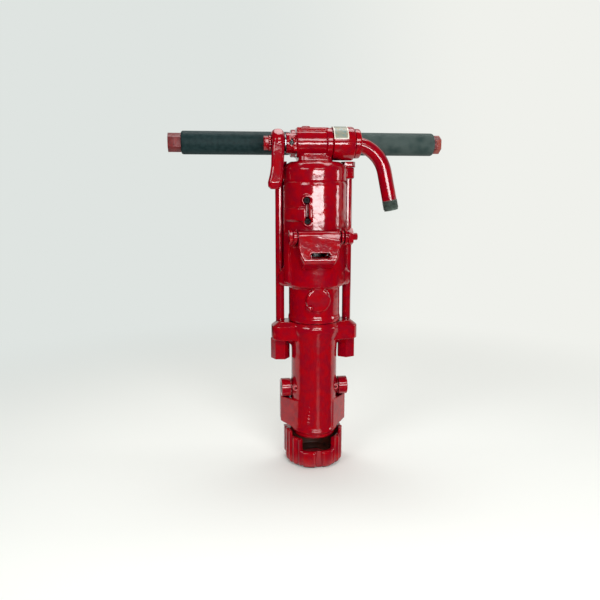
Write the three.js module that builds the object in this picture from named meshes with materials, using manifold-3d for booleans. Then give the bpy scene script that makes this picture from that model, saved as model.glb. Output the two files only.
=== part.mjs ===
import * as THREE from 'three';
import { mergeVertices } from 'three/addons/utils/BufferGeometryUtils.js';
import Module from 'manifold-3d';

// A pneumatic rock drill of the hand-held sinker class, standing on its steel retainer.
// Millimetres. Z runs up the drill axis, Y to the back, X along the handle towards the air inlet.
// The origin is on the drill axis, on the floor under the retainer.

const wasm = await Module();
wasm.setup();

// Clearances shared by every fit
const fit = { gap: 0.3, slide: 0.5, run: 0.8, overrun: 3, weld: 0.01 };

// Facets of round work, by how large the work is
const facets = { large: 32, medium: 20, small: 14, tiny: 8 };

// Steel retainer: a fluted cup on two arms that hang from eyes beside the nose
const retainer = {
  radius: 51.3,
  bore: 42,
  height: 58,
  floor: 12,
  frontHeight: 52,
  frontCut: 8,
  tabHeight: 31,
  windowAngle: 1.29,
  ribDepth: 2.8,
  bottomRound: 8,
  mouthRadius: 23.5,
  mouthShift: 8,
  grooveWidth: 9,
  eyeRadius: 16,
  eyeInset: 42.3,
  eyeWidth: 16.7,
  armDepth: 13,
  ribs: 24,
};

// How the retainer's lower edge rounds off: shares of its radius taken in and of its height
const roundShares = [[1, 0], [0.45, 0.15], [0.12, 0.5], [0, 1]];

// Shoulder bolts that the retainer swings on
const hinge = {
  shank: 6.5,
  headRadius: 9,
  headHeight: 5,
  depth: 21,
  washer: 1.6,
  lockRadius: 4.5,
  lockLength: 9,
};

// Fronthead casting: nose, wings, barrel and the flange with the rod lugs
const fronthead = {
  radius: 40,
  length: 209.5,
  noseRoom: 38,
  noseRound: 7,
  lip: 7,
  lipBore: 24,
  bore: 33.5,
  pivotRise: 87,
  wingSpan: 59,
  wingFront: 4,
  wingBack: 12,
  wingTip: 4,
  wingRise: 14,
  wingGap: 2.5,
  flangeRadius: 47,
  flangeHeight: 32.5,
  lugRadius: 15.5,
  lugChamfer: 5,
};

// Side rods and their long nuts
const rod = {
  radius: 7.5,
  spread: 59.2,
  back: 8,
  headRadius: 11,
  headHeight: 9.5,
  nutLength: 37,
  nutRadius: 16,
  nutRecess: 3,
};

// Rotating chuck and the sleeves that carry it
const chuck = {
  length: 127,
  flange: 36,
  shankRise: 8,
  wall: 4.6,
  insertRadius: 20.5,
  insertLength: 84,
  hexRadius: 14.7,
  splineCount: 6,
  splineDepth: 2,
};

// Bronze sleeve that the piston stem runs in
const stemSleeve = { radius: 38, height: 35 };

// Piston hammer, with its rifle nut in the head
const piston = {
  stem: 18,
  headRise: 69.8,
  head: 33,
  headLength: 60,
  stroke: 58,
  boreRadius: 13.8,
  boreDepth: 122,
};
const rifleNut = { length: 24, wall: 4 };

// Rifle bar: helical lobes below, a head with four pawls above
const rifle = { radius: 11, lobeDepth: 1.2, lobeCount: 5, leadLength: 762, reach: 60, head: 25,
  sliceCount: 8 };
const ratchet = { thickness: 22, radius: 39.5, valley: 33, crest: 30.6, teeth: 24, faceShare: 0.02 };
const pawl = {
  count: 4,
  rootRadius: 3.2,
  tipRadius: 1.2,
  rootReach: 23.5,
  tipReach: 30.1,
  rootAngle: 0.46,
  tipAngle: 0.11,
  rockAngle: 0.22,
};

// Cylinder casting
const cylinder = {
  radius: 54.2,
  neckRadius: 44.2,
  neckLength: 60,
  neckFlange: 8,
  flangeHeight: 24,
  flangeFlare: 18,
  earSpan: 62.6,
  earDepth: 28,
  bore: 33.4,
  cushion: 30,
  headroom: 4,
  counterbore: 40,
  stemClear: 6,
  bandRadius: 57,
  bandLow: 62,
  bandHeight: 20,
  bandAngle: 0.95,
  bossRadius: 20.5,
  bossProud: 3,
  bossHeight: 40.6,
  groove: 1.6,
  ribAngle: 1.06,
  ribSpread: 0.2,
  ribRise: 25,
  ribHeight: 65,
};

// Valve chest and the distributing valve in it
const chest = { thickness: 22, bore: 14, valveOuter: 30, valveInner: 22, valveHeight: 10, valveTravel: 3 };

// Exhaust port, its deflector and the bolt that clamps it
const exhaust = {
  boltForward: 64,
  boltHeight: 89,
  knuckle: 10,
  leftReach: 38,
  rightReach: 33,
  lipForward: 80,
  faceDrop: 25,
  lipDrop: 47,
  rootDrop: 57,
  sideBack: 38,
  slotWidth: 33,
  slotHeight: 9,
  slotShift: 2,
  portHeight: 20,
  portWidth: 24,
  wall: 5,
  leftLug: 8,
  rightLug: 5.5,
  bolt: 6,
  boltHead: 5.5,
  nutRadius: 12.7,
  nutLength: 8,
  washerRadius: 12.5,
  washer: 2.3,
  boltEnd: 4,
};

// Backhead casting, with the throttle housing across its top
const backhead = {
  skirt: 23,
  shoulder: 12,
  crown: 40,
  axisHeight: 64.5,
  housingRadius: 23,
  left: 32,
  right: 28,
  bossLeft: 18,
  bossRadius: 17,
  collar: 10,
  collarRadius: 26,
  stemWidth: 52,
  stemDepth: 44,
  recess: 22,
  lugBottom: 6,
  lugHeight: 19,
  lugRadius: 11,
  bore: 15.4,
  detentX: 15,
  detentTop: 28,
  detentRadius: 8,
};

// Throttle: plug valve, lever and the nut that holds it
const throttle = {
  plug: 15,
  plugBore: 9,
  plugReach: 14,
  spindle: 8,
  hubLeft: 73.7,
  hubRight: 52,
  hubRadius: 20,
  drop: 77,
  armForward: 20,
  armWidth: 22,
  armNeck: 17.6,
  armThick: 11,
  armShift: 5,
  washer: 4,
  washerRadius: 13,
  nutRadius: 12,
  nutLength: 8,
  swingAngle: 1.31,
};

// The lever's arm from hub to tip: shares of its drop, sideways shift, forward set, widening and thickness
const armShares = [
  [0, 0, 0.75, 1, 1],
  [0.3, 0, 0.85, 1, 1],
  [0.55, 0.2, 1, 0, 1],
  [0.72, 0.5, 1.08, 0.15, 1.1],
  [0.88, 1, 1.1, 1, 1.1],
  [0.96, 1.1, 1.08, 0.7, 0.9],
  [1, 1.1, 1.05, 0.15, 0.45],
];

// Air inlet: swivel body, gland nut and the gooseneck that turns in them
const inlet = {
  bodyLength: 37.7,
  bodyRadius: 28,
  nutLength: 10.5,
  nutRadius: 24.5,
  flangeRadius: 18,
  flangeLength: 10,
  sealLength: 5.4,
  tube: 12.5,
  tubeBore: 9.5,
  bendRadius: 60,
  bendAngle: 1.36,
  straight: 66,
  stepCount: 14,
  thread: 16,
  threadRadius: 13.3,
  strainerLength: 24,
  strainerRadius: 11,
  strainerWall: 1.5,
};

// Handle bar behind the throttle housing
const handle = {
  back: 62,
  rise: 3.5,
  shift: 1.5,
  half: 225,
  bolt: 9.5,
  tube: 14,
  grip: 20,
  gripRound: 3,
  bossLeft: 34,
  bossRight: 38,
  bossRadius: 24,
  nutLength: 22.5,
  nutRadius: 16.3,
  headLength: 13,
  headRadius: 16.3,
  recess: 4,
};

// Small plugs and fittings on the castings
const plug = { radius: 5, ring: 8, proud: 2.5, depth: 9, socket: 2.6, socketDepth: 4 };
const portHoles = { upperX: -21, upperDrop: 29, lowerX: -19.4, lowerDrop: 63 };
const nipple = { across: -14.5, height: 28, radius: 3.6, tip: 2, length: 11 };

// Levels up the drill, each from the piece below it
const noseZ = retainer.floor + fronthead.noseRoom;
const seatZ = noseZ + fronthead.lip;
const pivotZ = noseZ + fronthead.pivotRise;
const wingTopZ = pivotZ - retainer.eyeRadius - fronthead.wingGap;
const frontTopZ = noseZ + fronthead.length;
const lugZ = frontTopZ - fronthead.flangeHeight;
const sleeveZ = frontTopZ - stemSleeve.height;
const chuckZ = seatZ + fit.gap;
const chuckTopZ = chuckZ + chuck.length;
const strikeZ = chuckZ + chuck.insertLength + chuck.shankRise;
const headZ = frontTopZ + piston.headRise;
const headTopZ = headZ + piston.headLength;
const boreFrontZ = headZ - cylinder.cushion;
const boreTopZ = headTopZ + piston.stroke + cylinder.headroom;
const chestTopZ = boreTopZ + fit.gap + chest.thickness;
const ringZ = chestTopZ + fit.gap;
const cylinderTopZ = ringZ + ratchet.thickness + fit.gap;
const cylinderZ = frontTopZ + fit.gap;
const neckTopZ = cylinderZ + cylinder.neckLength;
const backheadZ = cylinderTopZ + fit.gap;
const axisZ = backheadZ + backhead.axisHeight;
const handleZ = axisZ + handle.rise;
const rodHeadZ = backheadZ + backhead.lugBottom + backhead.lugHeight + fit.gap;
const exhaustZ = neckTopZ + exhaust.boltHeight;
const bushBore = fronthead.bore - fit.gap - chuck.wall;
const chuckRadius = bushBore - fit.slide;

/** Turns a closed geometry into a solid that can be cut and joined. */
function solidOf(geometry) {
  const bare = geometry.index ? geometry.toNonIndexed() : geometry.clone();
  for (const name of Object.keys(bare.attributes)) {
    if (name !== 'position') bare.deleteAttribute(name);
  }
  const merged = mergeVertices(bare);
  const points = merged.attributes.position.array;
  const triangles = [];
  let volume = 0;
  for (let i = 0; i < merged.index.count; i += 3) {
    const [a, b, c] = [merged.index.getX(i), merged.index.getX(i + 1), merged.index.getX(i + 2)];
    if (a === b || b === c || a === c) continue;
    triangles.push([a, b, c]);
    const [p, q, r] = [a, b, c].map((k) => new THREE.Vector3().fromArray(points, 3 * k));
    volume += p.dot(q.cross(r));
  }
  const wound = triangles.map(([a, b, c]) => (volume < 0 ? [a, c, b] : [a, b, c]));
  const mesh = { numProp: 3, vertProperties: new Float32Array(points),
    triVerts: new Uint32Array(wound.flat()) };
  return new wasm.Manifold(new wasm.Mesh(mesh));
}

/** Joins any number of solids. */
function join(...solids) {
  return solids.reduce((whole, next) => whole.add(next));
}

/** Cuts any number of solids out of the first. */
function cut(solid, ...tools) {
  return tools.reduce((left, tool) => left.subtract(tool), solid);
}

/** Turns a profile of [radius, height] points about Z. */
function turned(profile, count = facets.medium) {
  const points = profile.map(([r, z]) => new THREE.Vector2(r, z));
  return new THREE.LatheGeometry([...points, points[0]], count).rotateX(Math.PI / 2);
}

/** A round bar or, with a bore, a ring about Z. */
function ring(radius, low, high, bore = 0, count = facets.medium) {
  return turned([[bore, low], [radius, low], [radius, high], [bore, high]], count);
}

/** Lays a shape made about Z along X, through a point. */
function alongX(geometry, y, z) {
  return geometry.rotateY(Math.PI / 2).translate(0, y, z);
}

/** Lays a shape made about Z along Y with its top to the front, through a point. */
function alongFront(geometry, x, z) {
  return geometry.rotateX(Math.PI / 2).translate(x, 0, z);
}

/** A box between two corners. */
function block(x0, x1, y0, y1, z0, z1) {
  const box = new THREE.BoxGeometry(x1 - x0, y1 - y0, z1 - z0);
  return box.translate((x0 + x1) / 2, (y0 + y1) / 2, (z0 + z1) / 2);
}

/** Extrudes an outline of [x, y] points upwards. */
function prism(outline, low, high) {
  const shape = new THREE.Shape(outline.map(([x, y]) => new THREE.Vector2(x, y)));
  return new THREE.ExtrudeGeometry(shape, { depth: high - low, bevelEnabled: false }).translate(0, 0, low);
}

/** Extrudes an outline of [y, z] points along X. */
function slab(outline, low, high) {
  const geometry = prism(outline, low, high);
  return geometry.applyMatrix4(new THREE.Matrix4().set(0, 0, 1, 0, 1, 0, 0, 0, 0, 1, 0, 0, 0, 0, 0, 1));
}

/** Six corners, with the flats facing along the first axis. */
function hexagon(radius, turn = Math.PI / 6) {
  return [...Array(6).keys()].map((k) => {
    const angle = turn + (k * Math.PI) / 3;
    return [radius * Math.cos(angle), radius * Math.sin(angle)];
  });
}

/** The tight belt round circles given as [x, y, radius]. */
function belt(circles, count = facets.medium) {
  const points = circles.flatMap(([x, y, r]) =>
    [...Array(count).keys()].map((k) => {
      const angle = (2 * Math.PI * k) / count;
      return [x + r * Math.cos(angle), y + r * Math.sin(angle)];
    }));
  points.sort((a, b) => a[0] - b[0] || a[1] - b[1]);
  const half = (list) => {
    const chain = [];
    for (const p of list) {
      while (chain.length > 1) {
        const [a, b] = chain.slice(-2);
        if ((b[0] - a[0]) * (p[1] - a[1]) - (b[1] - a[1]) * (p[0] - a[0]) > fit.slide ** 2) break;
        chain.pop();
      }
      chain.push(p);
    }
    return chain.slice(0, -1);
  };
  return [...half(points), ...half([...points].reverse())];
}

/** Skins a stack of rings that hold the same number of [x, y, z] points, with a cap at each end. */
function loft(rings) {
  const count = rings[0].length;
  const middle = (list) => [0, 1, 2].map((axis) => list.reduce((sum, p) => sum + p[axis], 0) / count);
  const points = [...rings.flat(), middle(rings[0]), middle(rings[rings.length - 1])];
  const faces = [];
  for (let k = 0; k < count; k += 1) {
    const next = (k + 1) % count;
    for (let level = 0; level + 1 < rings.length; level += 1) {
      const [low, high] = [level * count, (level + 1) * count];
      faces.push(low + k, low + next, high + next, low + k, high + next, high + k);
    }
    const top = (rings.length - 1) * count;
    faces.push(points.length - 2, next, k, points.length - 1, top + k, top + next);
  }
  const geometry = new THREE.BufferGeometry();
  geometry.setAttribute('position', new THREE.Float32BufferAttribute(points.flat(), 3));
  geometry.setIndex(faces);
  return geometry;
}

/** A round ring whose radius rises and falls in lobes. */
function lobed(radius, depth, lobes, height, twist = 0, count = 4 * lobes) {
  return [...Array(count).keys()].map((k) => {
    const angle = (2 * Math.PI * k) / count;
    const reach = radius + depth * Math.cos(lobes * angle);
    return [reach * Math.cos(angle + twist), reach * Math.sin(angle + twist), height];
  });
}

/** An oval ring about a centre. */
function oval(x, y, z, halfWidth, halfDepth, count = facets.small) {
  return [...Array(count).keys()].map((k) => {
    const angle = (2 * Math.PI * k) / count;
    return [x + halfWidth * Math.cos(angle), y + halfDepth * Math.sin(angle), z];
  });
}

const paint = { color: 0xa50014, roughness: 0.18, metalness: 0 };
const darkSteel = { color: 0x3b3f3d, roughness: 0.45, metalness: 0.9 };
const brightSteel = { color: 0xb4b8ba, roughness: 0.3, metalness: 1 };
const bronze = { color: 0xa9783f, roughness: 0.4, metalness: 1 };
const rubber = { color: 0x32403f, roughness: 0.7, metalness: 0 };
const drill = new THREE.Group();

/** Adds a finished solid or geometry to the drill under its name. */
function piece(name, shape, finish, group = drill) {
  const solid = (shape.isBufferGeometry ? solidOf(shape) : shape).asOriginal().simplify(fit.weld);
  const { vertProperties, triVerts } = solid.getMesh();
  const geometry = new THREE.BufferGeometry();
  geometry.setAttribute('position', new THREE.BufferAttribute(new Float32Array(vertProperties), 3));
  geometry.setIndex(new THREE.BufferAttribute(new Uint32Array(triVerts), 1));
  geometry.computeVertexNormals();
  const mesh = new THREE.Mesh(geometry, new THREE.MeshStandardMaterial(finish));
  mesh.name = name;
  group.add(mesh);
  return mesh;
}

const sides = [['left', -1], ['right', 1]];

/** Round holes or channels where the two side rods pass. */
function rodBores(radius, low, high) {
  return sides.map(([, side]) =>
    solidOf(ring(radius, low, high, 0, facets.small).translate(side * rod.spread, rod.back, 0)));
}

/** Nose, wings, barrel, hinge bosses and the flange with its rod lugs. */
function makeFronthead() {
  const barrel = turned([
    [0, noseZ],
    [fronthead.radius - fronthead.noseRound, noseZ],
    [fronthead.radius, noseZ + fronthead.noseRound],
    [fronthead.radius, lugZ - fronthead.lugChamfer],
    [fronthead.flangeRadius, lugZ + fronthead.lugChamfer],
    [fronthead.flangeRadius, frontTopZ],
    [0, frontTopZ],
  ], facets.large);
  const flange = belt([
    [0, 0, fronthead.radius - fit.overrun],
    [-rod.spread, rod.back, fronthead.lugRadius],
    [rod.spread, rod.back, fronthead.lugRadius],
    [-rod.spread, -rod.back, fronthead.lugRadius],
    [rod.spread, -rod.back, fronthead.lugRadius],
  ]);
  const slim = flange.map(([x, y]) => {
    const share = 1 - fronthead.lugChamfer / Math.hypot(x, y);
    return [x * share, y * share];
  });
  const at = (outline, z) => outline.map(([x, y]) => [x, y, z]);
  const lugs = loft([
    at(flange, lugZ),
    at(flange, frontTopZ - fronthead.lugChamfer),
    at(slim, frontTopZ - fit.slide),
  ]);
  const tip = fronthead.wingSpan - fronthead.wingTip;
  const wings = belt([
    [0, 0, fronthead.radius - fit.slide],
    [-tip, fronthead.wingFront, fronthead.wingTip],
    [tip, fronthead.wingFront, fronthead.wingTip],
    [-tip, fronthead.wingBack - fronthead.wingTip, fronthead.wingTip],
    [tip, fronthead.wingBack - fronthead.wingTip, fronthead.wingTip],
  ], facets.large);
  const behind = block(-fronthead.wingSpan - fit.overrun, fronthead.wingSpan + fit.overrun,
    fronthead.wingBack, fronthead.radius + fit.overrun, noseZ, wingTopZ + fit.overrun);
  const wingPlate = cut(solidOf(prism(wings, noseZ + fronthead.wingRise, wingTopZ)), solidOf(behind));
  const eyeFace = retainer.eyeInset - hinge.washer - 2 * fit.gap;
  const boss = solidOf(alongX(ring(retainer.eyeRadius - fit.run, -eyeFace, eyeFace, 0, facets.small), 0,
    pivotZ));
  const body = join(solidOf(barrel), solidOf(lugs), wingPlate, boss);
  const bore = turned([
    [0, noseZ - fit.overrun],
    [fronthead.lipBore, noseZ - fit.overrun],
    [fronthead.lipBore, seatZ],
    [fronthead.bore, seatZ],
    [fronthead.bore, sleeveZ],
    [stemSleeve.radius + fit.gap, sleeveZ],
    [stemSleeve.radius + fit.gap, frontTopZ + fit.overrun],
    [0, frontTopZ + fit.overrun],
  ], facets.large);
  const boltHole = hinge.shank + fit.gap;
  const boltEnd = retainer.eyeInset + retainer.eyeWidth;
  const pins = sides.map(([, side]) => {
    const ends = [side * (boltEnd - hinge.depth - fit.run), side * (boltEnd + fit.overrun)];
    const span = ends.sort((a, b) => a - b);
    return solidOf(alongX(ring(boltHole, span[0], span[1], 0, facets.small), 0, pivotZ));
  });
  const locks = sides.map(([, side]) => solidOf(lockScrew(side, fit.gap)));
  return cut(body, solidOf(bore),
    ...rodBores(rod.radius + fit.slide, lugZ - fit.overrun, frontTopZ + fit.overrun),
    ...pins, ...locks);
}

/** Small button-headed screw beside each hinge boss, or the hole it sits in. */
function lockScrew(side, extra) {
  const across = fronthead.radius - hinge.lockRadius;
  const depth = Math.sqrt(fronthead.radius ** 2 - across ** 2);
  const face = depth + hinge.lockRadius / 2;
  const screw = ring(hinge.lockRadius + extra, face - hinge.lockLength - extra, face + extra * fit.overrun,
    0, facets.tiny);
  return alongFront(screw, side * across, pivotZ);
}

/** Fluted cup with its front window, two arms and their eyes. */
function makeRetainer() {
  const half = retainer.ribDepth / 2;
  const middle = retainer.radius - half;
  const edge = roundShares.map(([inShare, upShare]) => {
    const depth = upShare > 0 ? half : 0;
    return lobed(middle - retainer.bottomRound * inShare, depth, retainer.ribs,
      retainer.bottomRound * upShare);
  });
  const cup = loft([...edge, lobed(middle, half, retainer.ribs, retainer.height)]);
  const inside = ring(retainer.bore, retainer.floor, retainer.height + fit.overrun, 0, facets.large);
  const mouth = ring(retainer.mouthRadius, -fit.overrun, retainer.floor + fit.overrun).translate(0,
    -retainer.mouthShift, 0);
  const sector = (angle, reach) => {
    const spread = [...Array(9).keys()].map((k) => angle * (k / 8 - 0.5));
    return [[0, 0], ...spread.map((a) => [reach * Math.sin(a), -reach * Math.cos(a)])];
  };
  const wide = retainer.radius + fit.overrun;
  const window = prism(sector(retainer.windowAngle, wide), retainer.tabHeight,
    retainer.height + fit.overrun);
  const tabAngle = retainer.windowAngle + fit.overrun / retainer.radius;
  const tabs = prism([
    ...sector(tabAngle, retainer.radius).slice(1),
    ...sector(tabAngle, retainer.bore + fit.gap).slice(1).reverse(),
  ], 0, retainer.tabHeight);
  const frontCut = block(-wide, wide, -wide, -retainer.frontCut, retainer.frontHeight,
    retainer.height + fit.overrun);
  const halfGroove = retainer.grooveWidth / 2;
  const groove = block(-halfGroove, halfGroove, -wide, -retainer.radius + retainer.ribDepth, -fit.overrun,
    retainer.height);
  const trimmed = prism(sector(retainer.windowAngle, wide), -fit.overrun, retainer.bottomRound / 4);
  const rim = join(cut(solidOf(cup), solidOf(inside)), cut(solidOf(tabs), solidOf(trimmed)));
  const armFront = fronthead.wingBack + fit.slide;
  const armBack = armFront + retainer.armDepth;
  const top = pivotZ + retainer.eyeRadius;
  const outline = [
    [armFront, retainer.floor],
    [armBack, retainer.floor],
    [armBack, pivotZ + retainer.armDepth / 2],
    [armFront, top - retainer.armDepth / 4],
    [0, pivotZ],
    [armFront, wingTopZ + fit.run],
  ];
  const arms = sides.map(([, side]) => {
    const inner = side * (retainer.eyeInset + fit.slide);
    const outer = side * (retainer.eyeInset + retainer.eyeWidth);
    const span = [inner, outer].sort((a, b) => a - b);
    const arm = solidOf(slab(outline, span[0], span[1]));
    const eye = solidOf(alongX(ring(retainer.eyeRadius, span[0], span[1], 0, facets.medium), 0, pivotZ));
    const lower = Math.abs(outer) - retainer.radius + fit.slide;
    const shoulder = block(Math.min(side * retainer.radius, outer), Math.max(side * retainer.radius, outer),
      armFront - fit.overrun, armBack + fit.overrun, -fit.overrun, noseZ - lower);
    return cut(join(arm, eye), solidOf(shoulder));
  });
  const bolts = sides.flatMap(([, side]) => {
    const outer = retainer.eyeInset + retainer.eyeWidth + fit.overrun;
    const sink = retainer.eyeInset + retainer.eyeWidth - hinge.headHeight - 2 * fit.gap;
    const spans = [[hinge.shank + fit.gap, 0], [hinge.headRadius + fit.gap, sink]];
    return spans.map(([radius, from]) => {
      const span = [side * from, side * outer].sort((a, b) => a - b);
      return solidOf(alongX(ring(radius, span[0], span[1], 0, facets.small), 0, pivotZ));
    });
  });
  return cut(join(rim, ...arms), solidOf(mouth), solidOf(window), solidOf(frontCut),
    solidOf(groove), ...bolts);
}

/** One of the two shoulder bolts at the eyes. */
function makeHingeBolt(side) {
  const outer = retainer.eyeInset + retainer.eyeWidth;
  const under = outer - hinge.headHeight;
  const head = [[0, under], [hinge.headRadius, under], [hinge.headRadius, outer], [0, outer]];
  const shank = ring(hinge.shank, outer - hinge.depth - fit.slide, under + fit.gap, 0, facets.small);
  const socket = prism(hexagon(hinge.shank / 2), outer - hinge.headHeight / 2, outer + fit.overrun);
  const bolt = cut(join(solidOf(turned(head, facets.small)), solidOf(shank)), solidOf(socket));
  return bolt.rotate([0, side * 90, 0]).translate([0, 0, pivotZ]);
}

/** Barrel, neck, flange ears, lugs and bores of the cylinder. */
function makeCylinder() {
  const flangeZ = neckTopZ;
  const flareZ = flangeZ + cylinder.flangeHeight + cylinder.flangeFlare;
  const outer = turned([
    [0, cylinderZ],
    [fronthead.flangeRadius - fit.run, cylinderZ],
    [fronthead.flangeRadius - fit.run, cylinderZ + cylinder.neckFlange],
    [cylinder.neckRadius, cylinderZ + cylinder.neckFlange + fit.overrun],
    [cylinder.neckRadius, flangeZ],
    [cylinder.radius, flangeZ],
    [cylinder.radius, cylinderTopZ],
    [0, cylinderTopZ],
  ], facets.large);
  const ear = (span) => belt([
    [0, 0, cylinder.neckRadius],
    [-span + cylinder.earDepth / 2, 0, cylinder.earDepth / 2],
    [span - cylinder.earDepth / 2, 0, cylinder.earDepth / 2],
  ], facets.large);
  const at = (outline, z) => outline.map(([x, y]) => [x, y, z]);
  const narrow = (outline) => outline.map(([x, y]) => [x * (cylinder.neckRadius / cylinder.earSpan), y]);
  const wide = ear(cylinder.earSpan);
  const round = cylinder.flangeFlare / 3;
  const ears = loft([
    at(narrow(wide), flangeZ),
    at(wide, flangeZ + round),
    at(wide, flangeZ + cylinder.flangeHeight),
    at(narrow(wide), flareZ),
  ]);
  const turn = (angle, reach) => [reach * Math.sin(angle), -reach * Math.cos(angle)];
  const bandStart = -portHoles.upperX / cylinder.radius / 2;
  const bandSpread = [...Array(9).keys()].map((k) => -bandStart - (cylinder.bandAngle * k) / 8);
  const bandZ = cylinderTopZ - cylinder.bandLow;
  const band = prism([
    ...bandSpread.map((a) => turn(a, cylinder.bandRadius)),
    ...bandSpread.map((a) => turn(a, cylinder.bore + fit.overrun)).reverse(),
  ], bandZ, bandZ + cylinder.bandHeight);
  const ribSpread = [-1, 0, 1].map((k) => -cylinder.ribAngle + (cylinder.ribSpread * k) / 2);
  const ribZ = neckTopZ + cylinder.ribRise;
  const rib = prism([
    ...ribSpread.map((a) => turn(a, cylinder.bandRadius)),
    ...ribSpread.map((a) => turn(a, cylinder.bore + fit.overrun)).reverse(),
  ], ribZ, ribZ + cylinder.ribHeight);
  const boss = alongFront(ring(cylinder.bossRadius, cylinder.bore,
    cylinder.neckRadius + cylinder.bossProud), 0,
    cylinderZ + cylinder.bossHeight);
  const holeRings = plugPlaces().map(({ x, z, y }) =>
    alongFront(ring(plug.ring, cylinder.bore + fit.overrun, y), x, z));
  const lugs = [
    [-exhaust.leftReach - fit.gap - exhaust.leftLug, -exhaust.leftReach - fit.gap],
    [exhaust.rightReach + fit.gap, exhaust.rightReach + fit.gap + exhaust.rightLug],
  ].map(([from, to]) => slab([
    [-exhaust.boltForward, exhaustZ + exhaust.knuckle],
    [-exhaust.boltForward - exhaust.knuckle, exhaustZ],
    [-exhaust.boltForward - exhaust.knuckle / 2, exhaustZ - exhaust.knuckle],
    [-cylinder.counterbore + fit.overrun, exhaustZ - 2 * exhaust.knuckle],
    [-cylinder.counterbore + fit.overrun, exhaustZ + exhaust.knuckle],
  ], from, to));
  const body = join(solidOf(outer), solidOf(ears), solidOf(band), solidOf(rib), solidOf(boss),
    ...holeRings.map(solidOf),
    ...lugs.map(solidOf));
  const bores = turned([
    [0, cylinderZ - fit.overrun],
    [piston.stem + cylinder.stemClear, cylinderZ - fit.overrun],
    [piston.stem + cylinder.stemClear, boreFrontZ],
    [cylinder.bore, boreFrontZ],
    [cylinder.bore, boreTopZ],
    [cylinder.counterbore, boreTopZ],
    [cylinder.counterbore, cylinderTopZ + fit.overrun],
    [0, cylinderTopZ + fit.overrun],
  ], facets.large);
  const grooveZ = cylinderTopZ - fit.overrun;
  const topGroove = ring(cylinder.radius + fit.overrun, grooveZ, cylinderTopZ + fit.overrun,
    cylinder.radius - cylinder.groove, facets.large);
  const halfPort = exhaust.portWidth / 2;
  const port = block(-halfPort, halfPort, -cylinder.radius - fit.overrun, 0, portZ(),
    portZ() + exhaust.portHeight);
  const boltHole = alongX(ring(exhaust.bolt + fit.slide, -cylinder.radius, cylinder.radius, 0, facets.small),
    -exhaust.boltForward, exhaustZ);
  const holes = plugPlaces().map(({ x, z, y }) =>
    alongFront(
      ring(plug.radius + fit.gap, y - plug.depth - fit.gap, y + fit.overrun, 0, facets.small), x, z));
  const fitting = nippleBore();
  return cut(body, solidOf(bores), solidOf(topGroove), solidOf(port), solidOf(boltHole),
    ...holes.map(solidOf), solidOf(fitting),
    ...rodBores(rod.radius + fit.run, cylinderZ - fit.overrun, cylinderTopZ + fit.overrun));
}

/** Height of the lower edge of the exhaust port. */
function portZ() {
  return exhaustZ - exhaust.faceDrop - exhaust.slotHeight;
}

/** Where the two socket plugs sit on the barrel: across, up and how far forward their faces are. */
function plugPlaces() {
  const holes = [[portHoles.upperX, portHoles.upperDrop], [portHoles.lowerX, portHoles.lowerDrop]];
  return holes.map(([x, drop]) => ({
    x,
    z: cylinderTopZ - drop,
    y: Math.sqrt(cylinder.radius ** 2 - x ** 2) + plug.proud,
  }));
}

/** A socket plug, sunk a little in its hole. */
function makePlug({ x, z, y }) {
  const face = y - plug.proud;
  const body = solidOf(ring(plug.radius, y - plug.depth, face, 0, facets.small));
  const socket = solidOf(prism(hexagon(plug.socket), face - plug.socketDepth, face + fit.overrun));
  return cut(body, socket).rotate([90, 0, 0]).translate([x, 0, z]);
}

/** Bore that the lubricator nipple screws into. */
function nippleBore() {
  const face = Math.sqrt(cylinder.neckRadius ** 2 - nipple.across ** 2);
  const bore = ring(nipple.radius + fit.gap, face - nipple.length / 2 - fit.gap,
    cylinder.radius + fit.overrun, 0, facets.tiny);
  return alongFront(bore, nipple.across, cylinderZ + nipple.height);
}

/** Lubricator nipple at the edge of the neck boss. */
function makeNipple() {
  const face = Math.sqrt(cylinder.neckRadius ** 2 - nipple.across ** 2);
  const low = face - nipple.length / 2;
  const body = turned([
    [0, low],
    [nipple.radius, low],
    [nipple.radius, low + (2 * nipple.length) / 3],
    [nipple.tip, low + (3 * nipple.length) / 4],
    [nipple.tip, low + nipple.length],
    [0, low + nipple.length],
  ], facets.tiny);
  return alongFront(body, nipple.across, cylinderZ + nipple.height);
}

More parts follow.
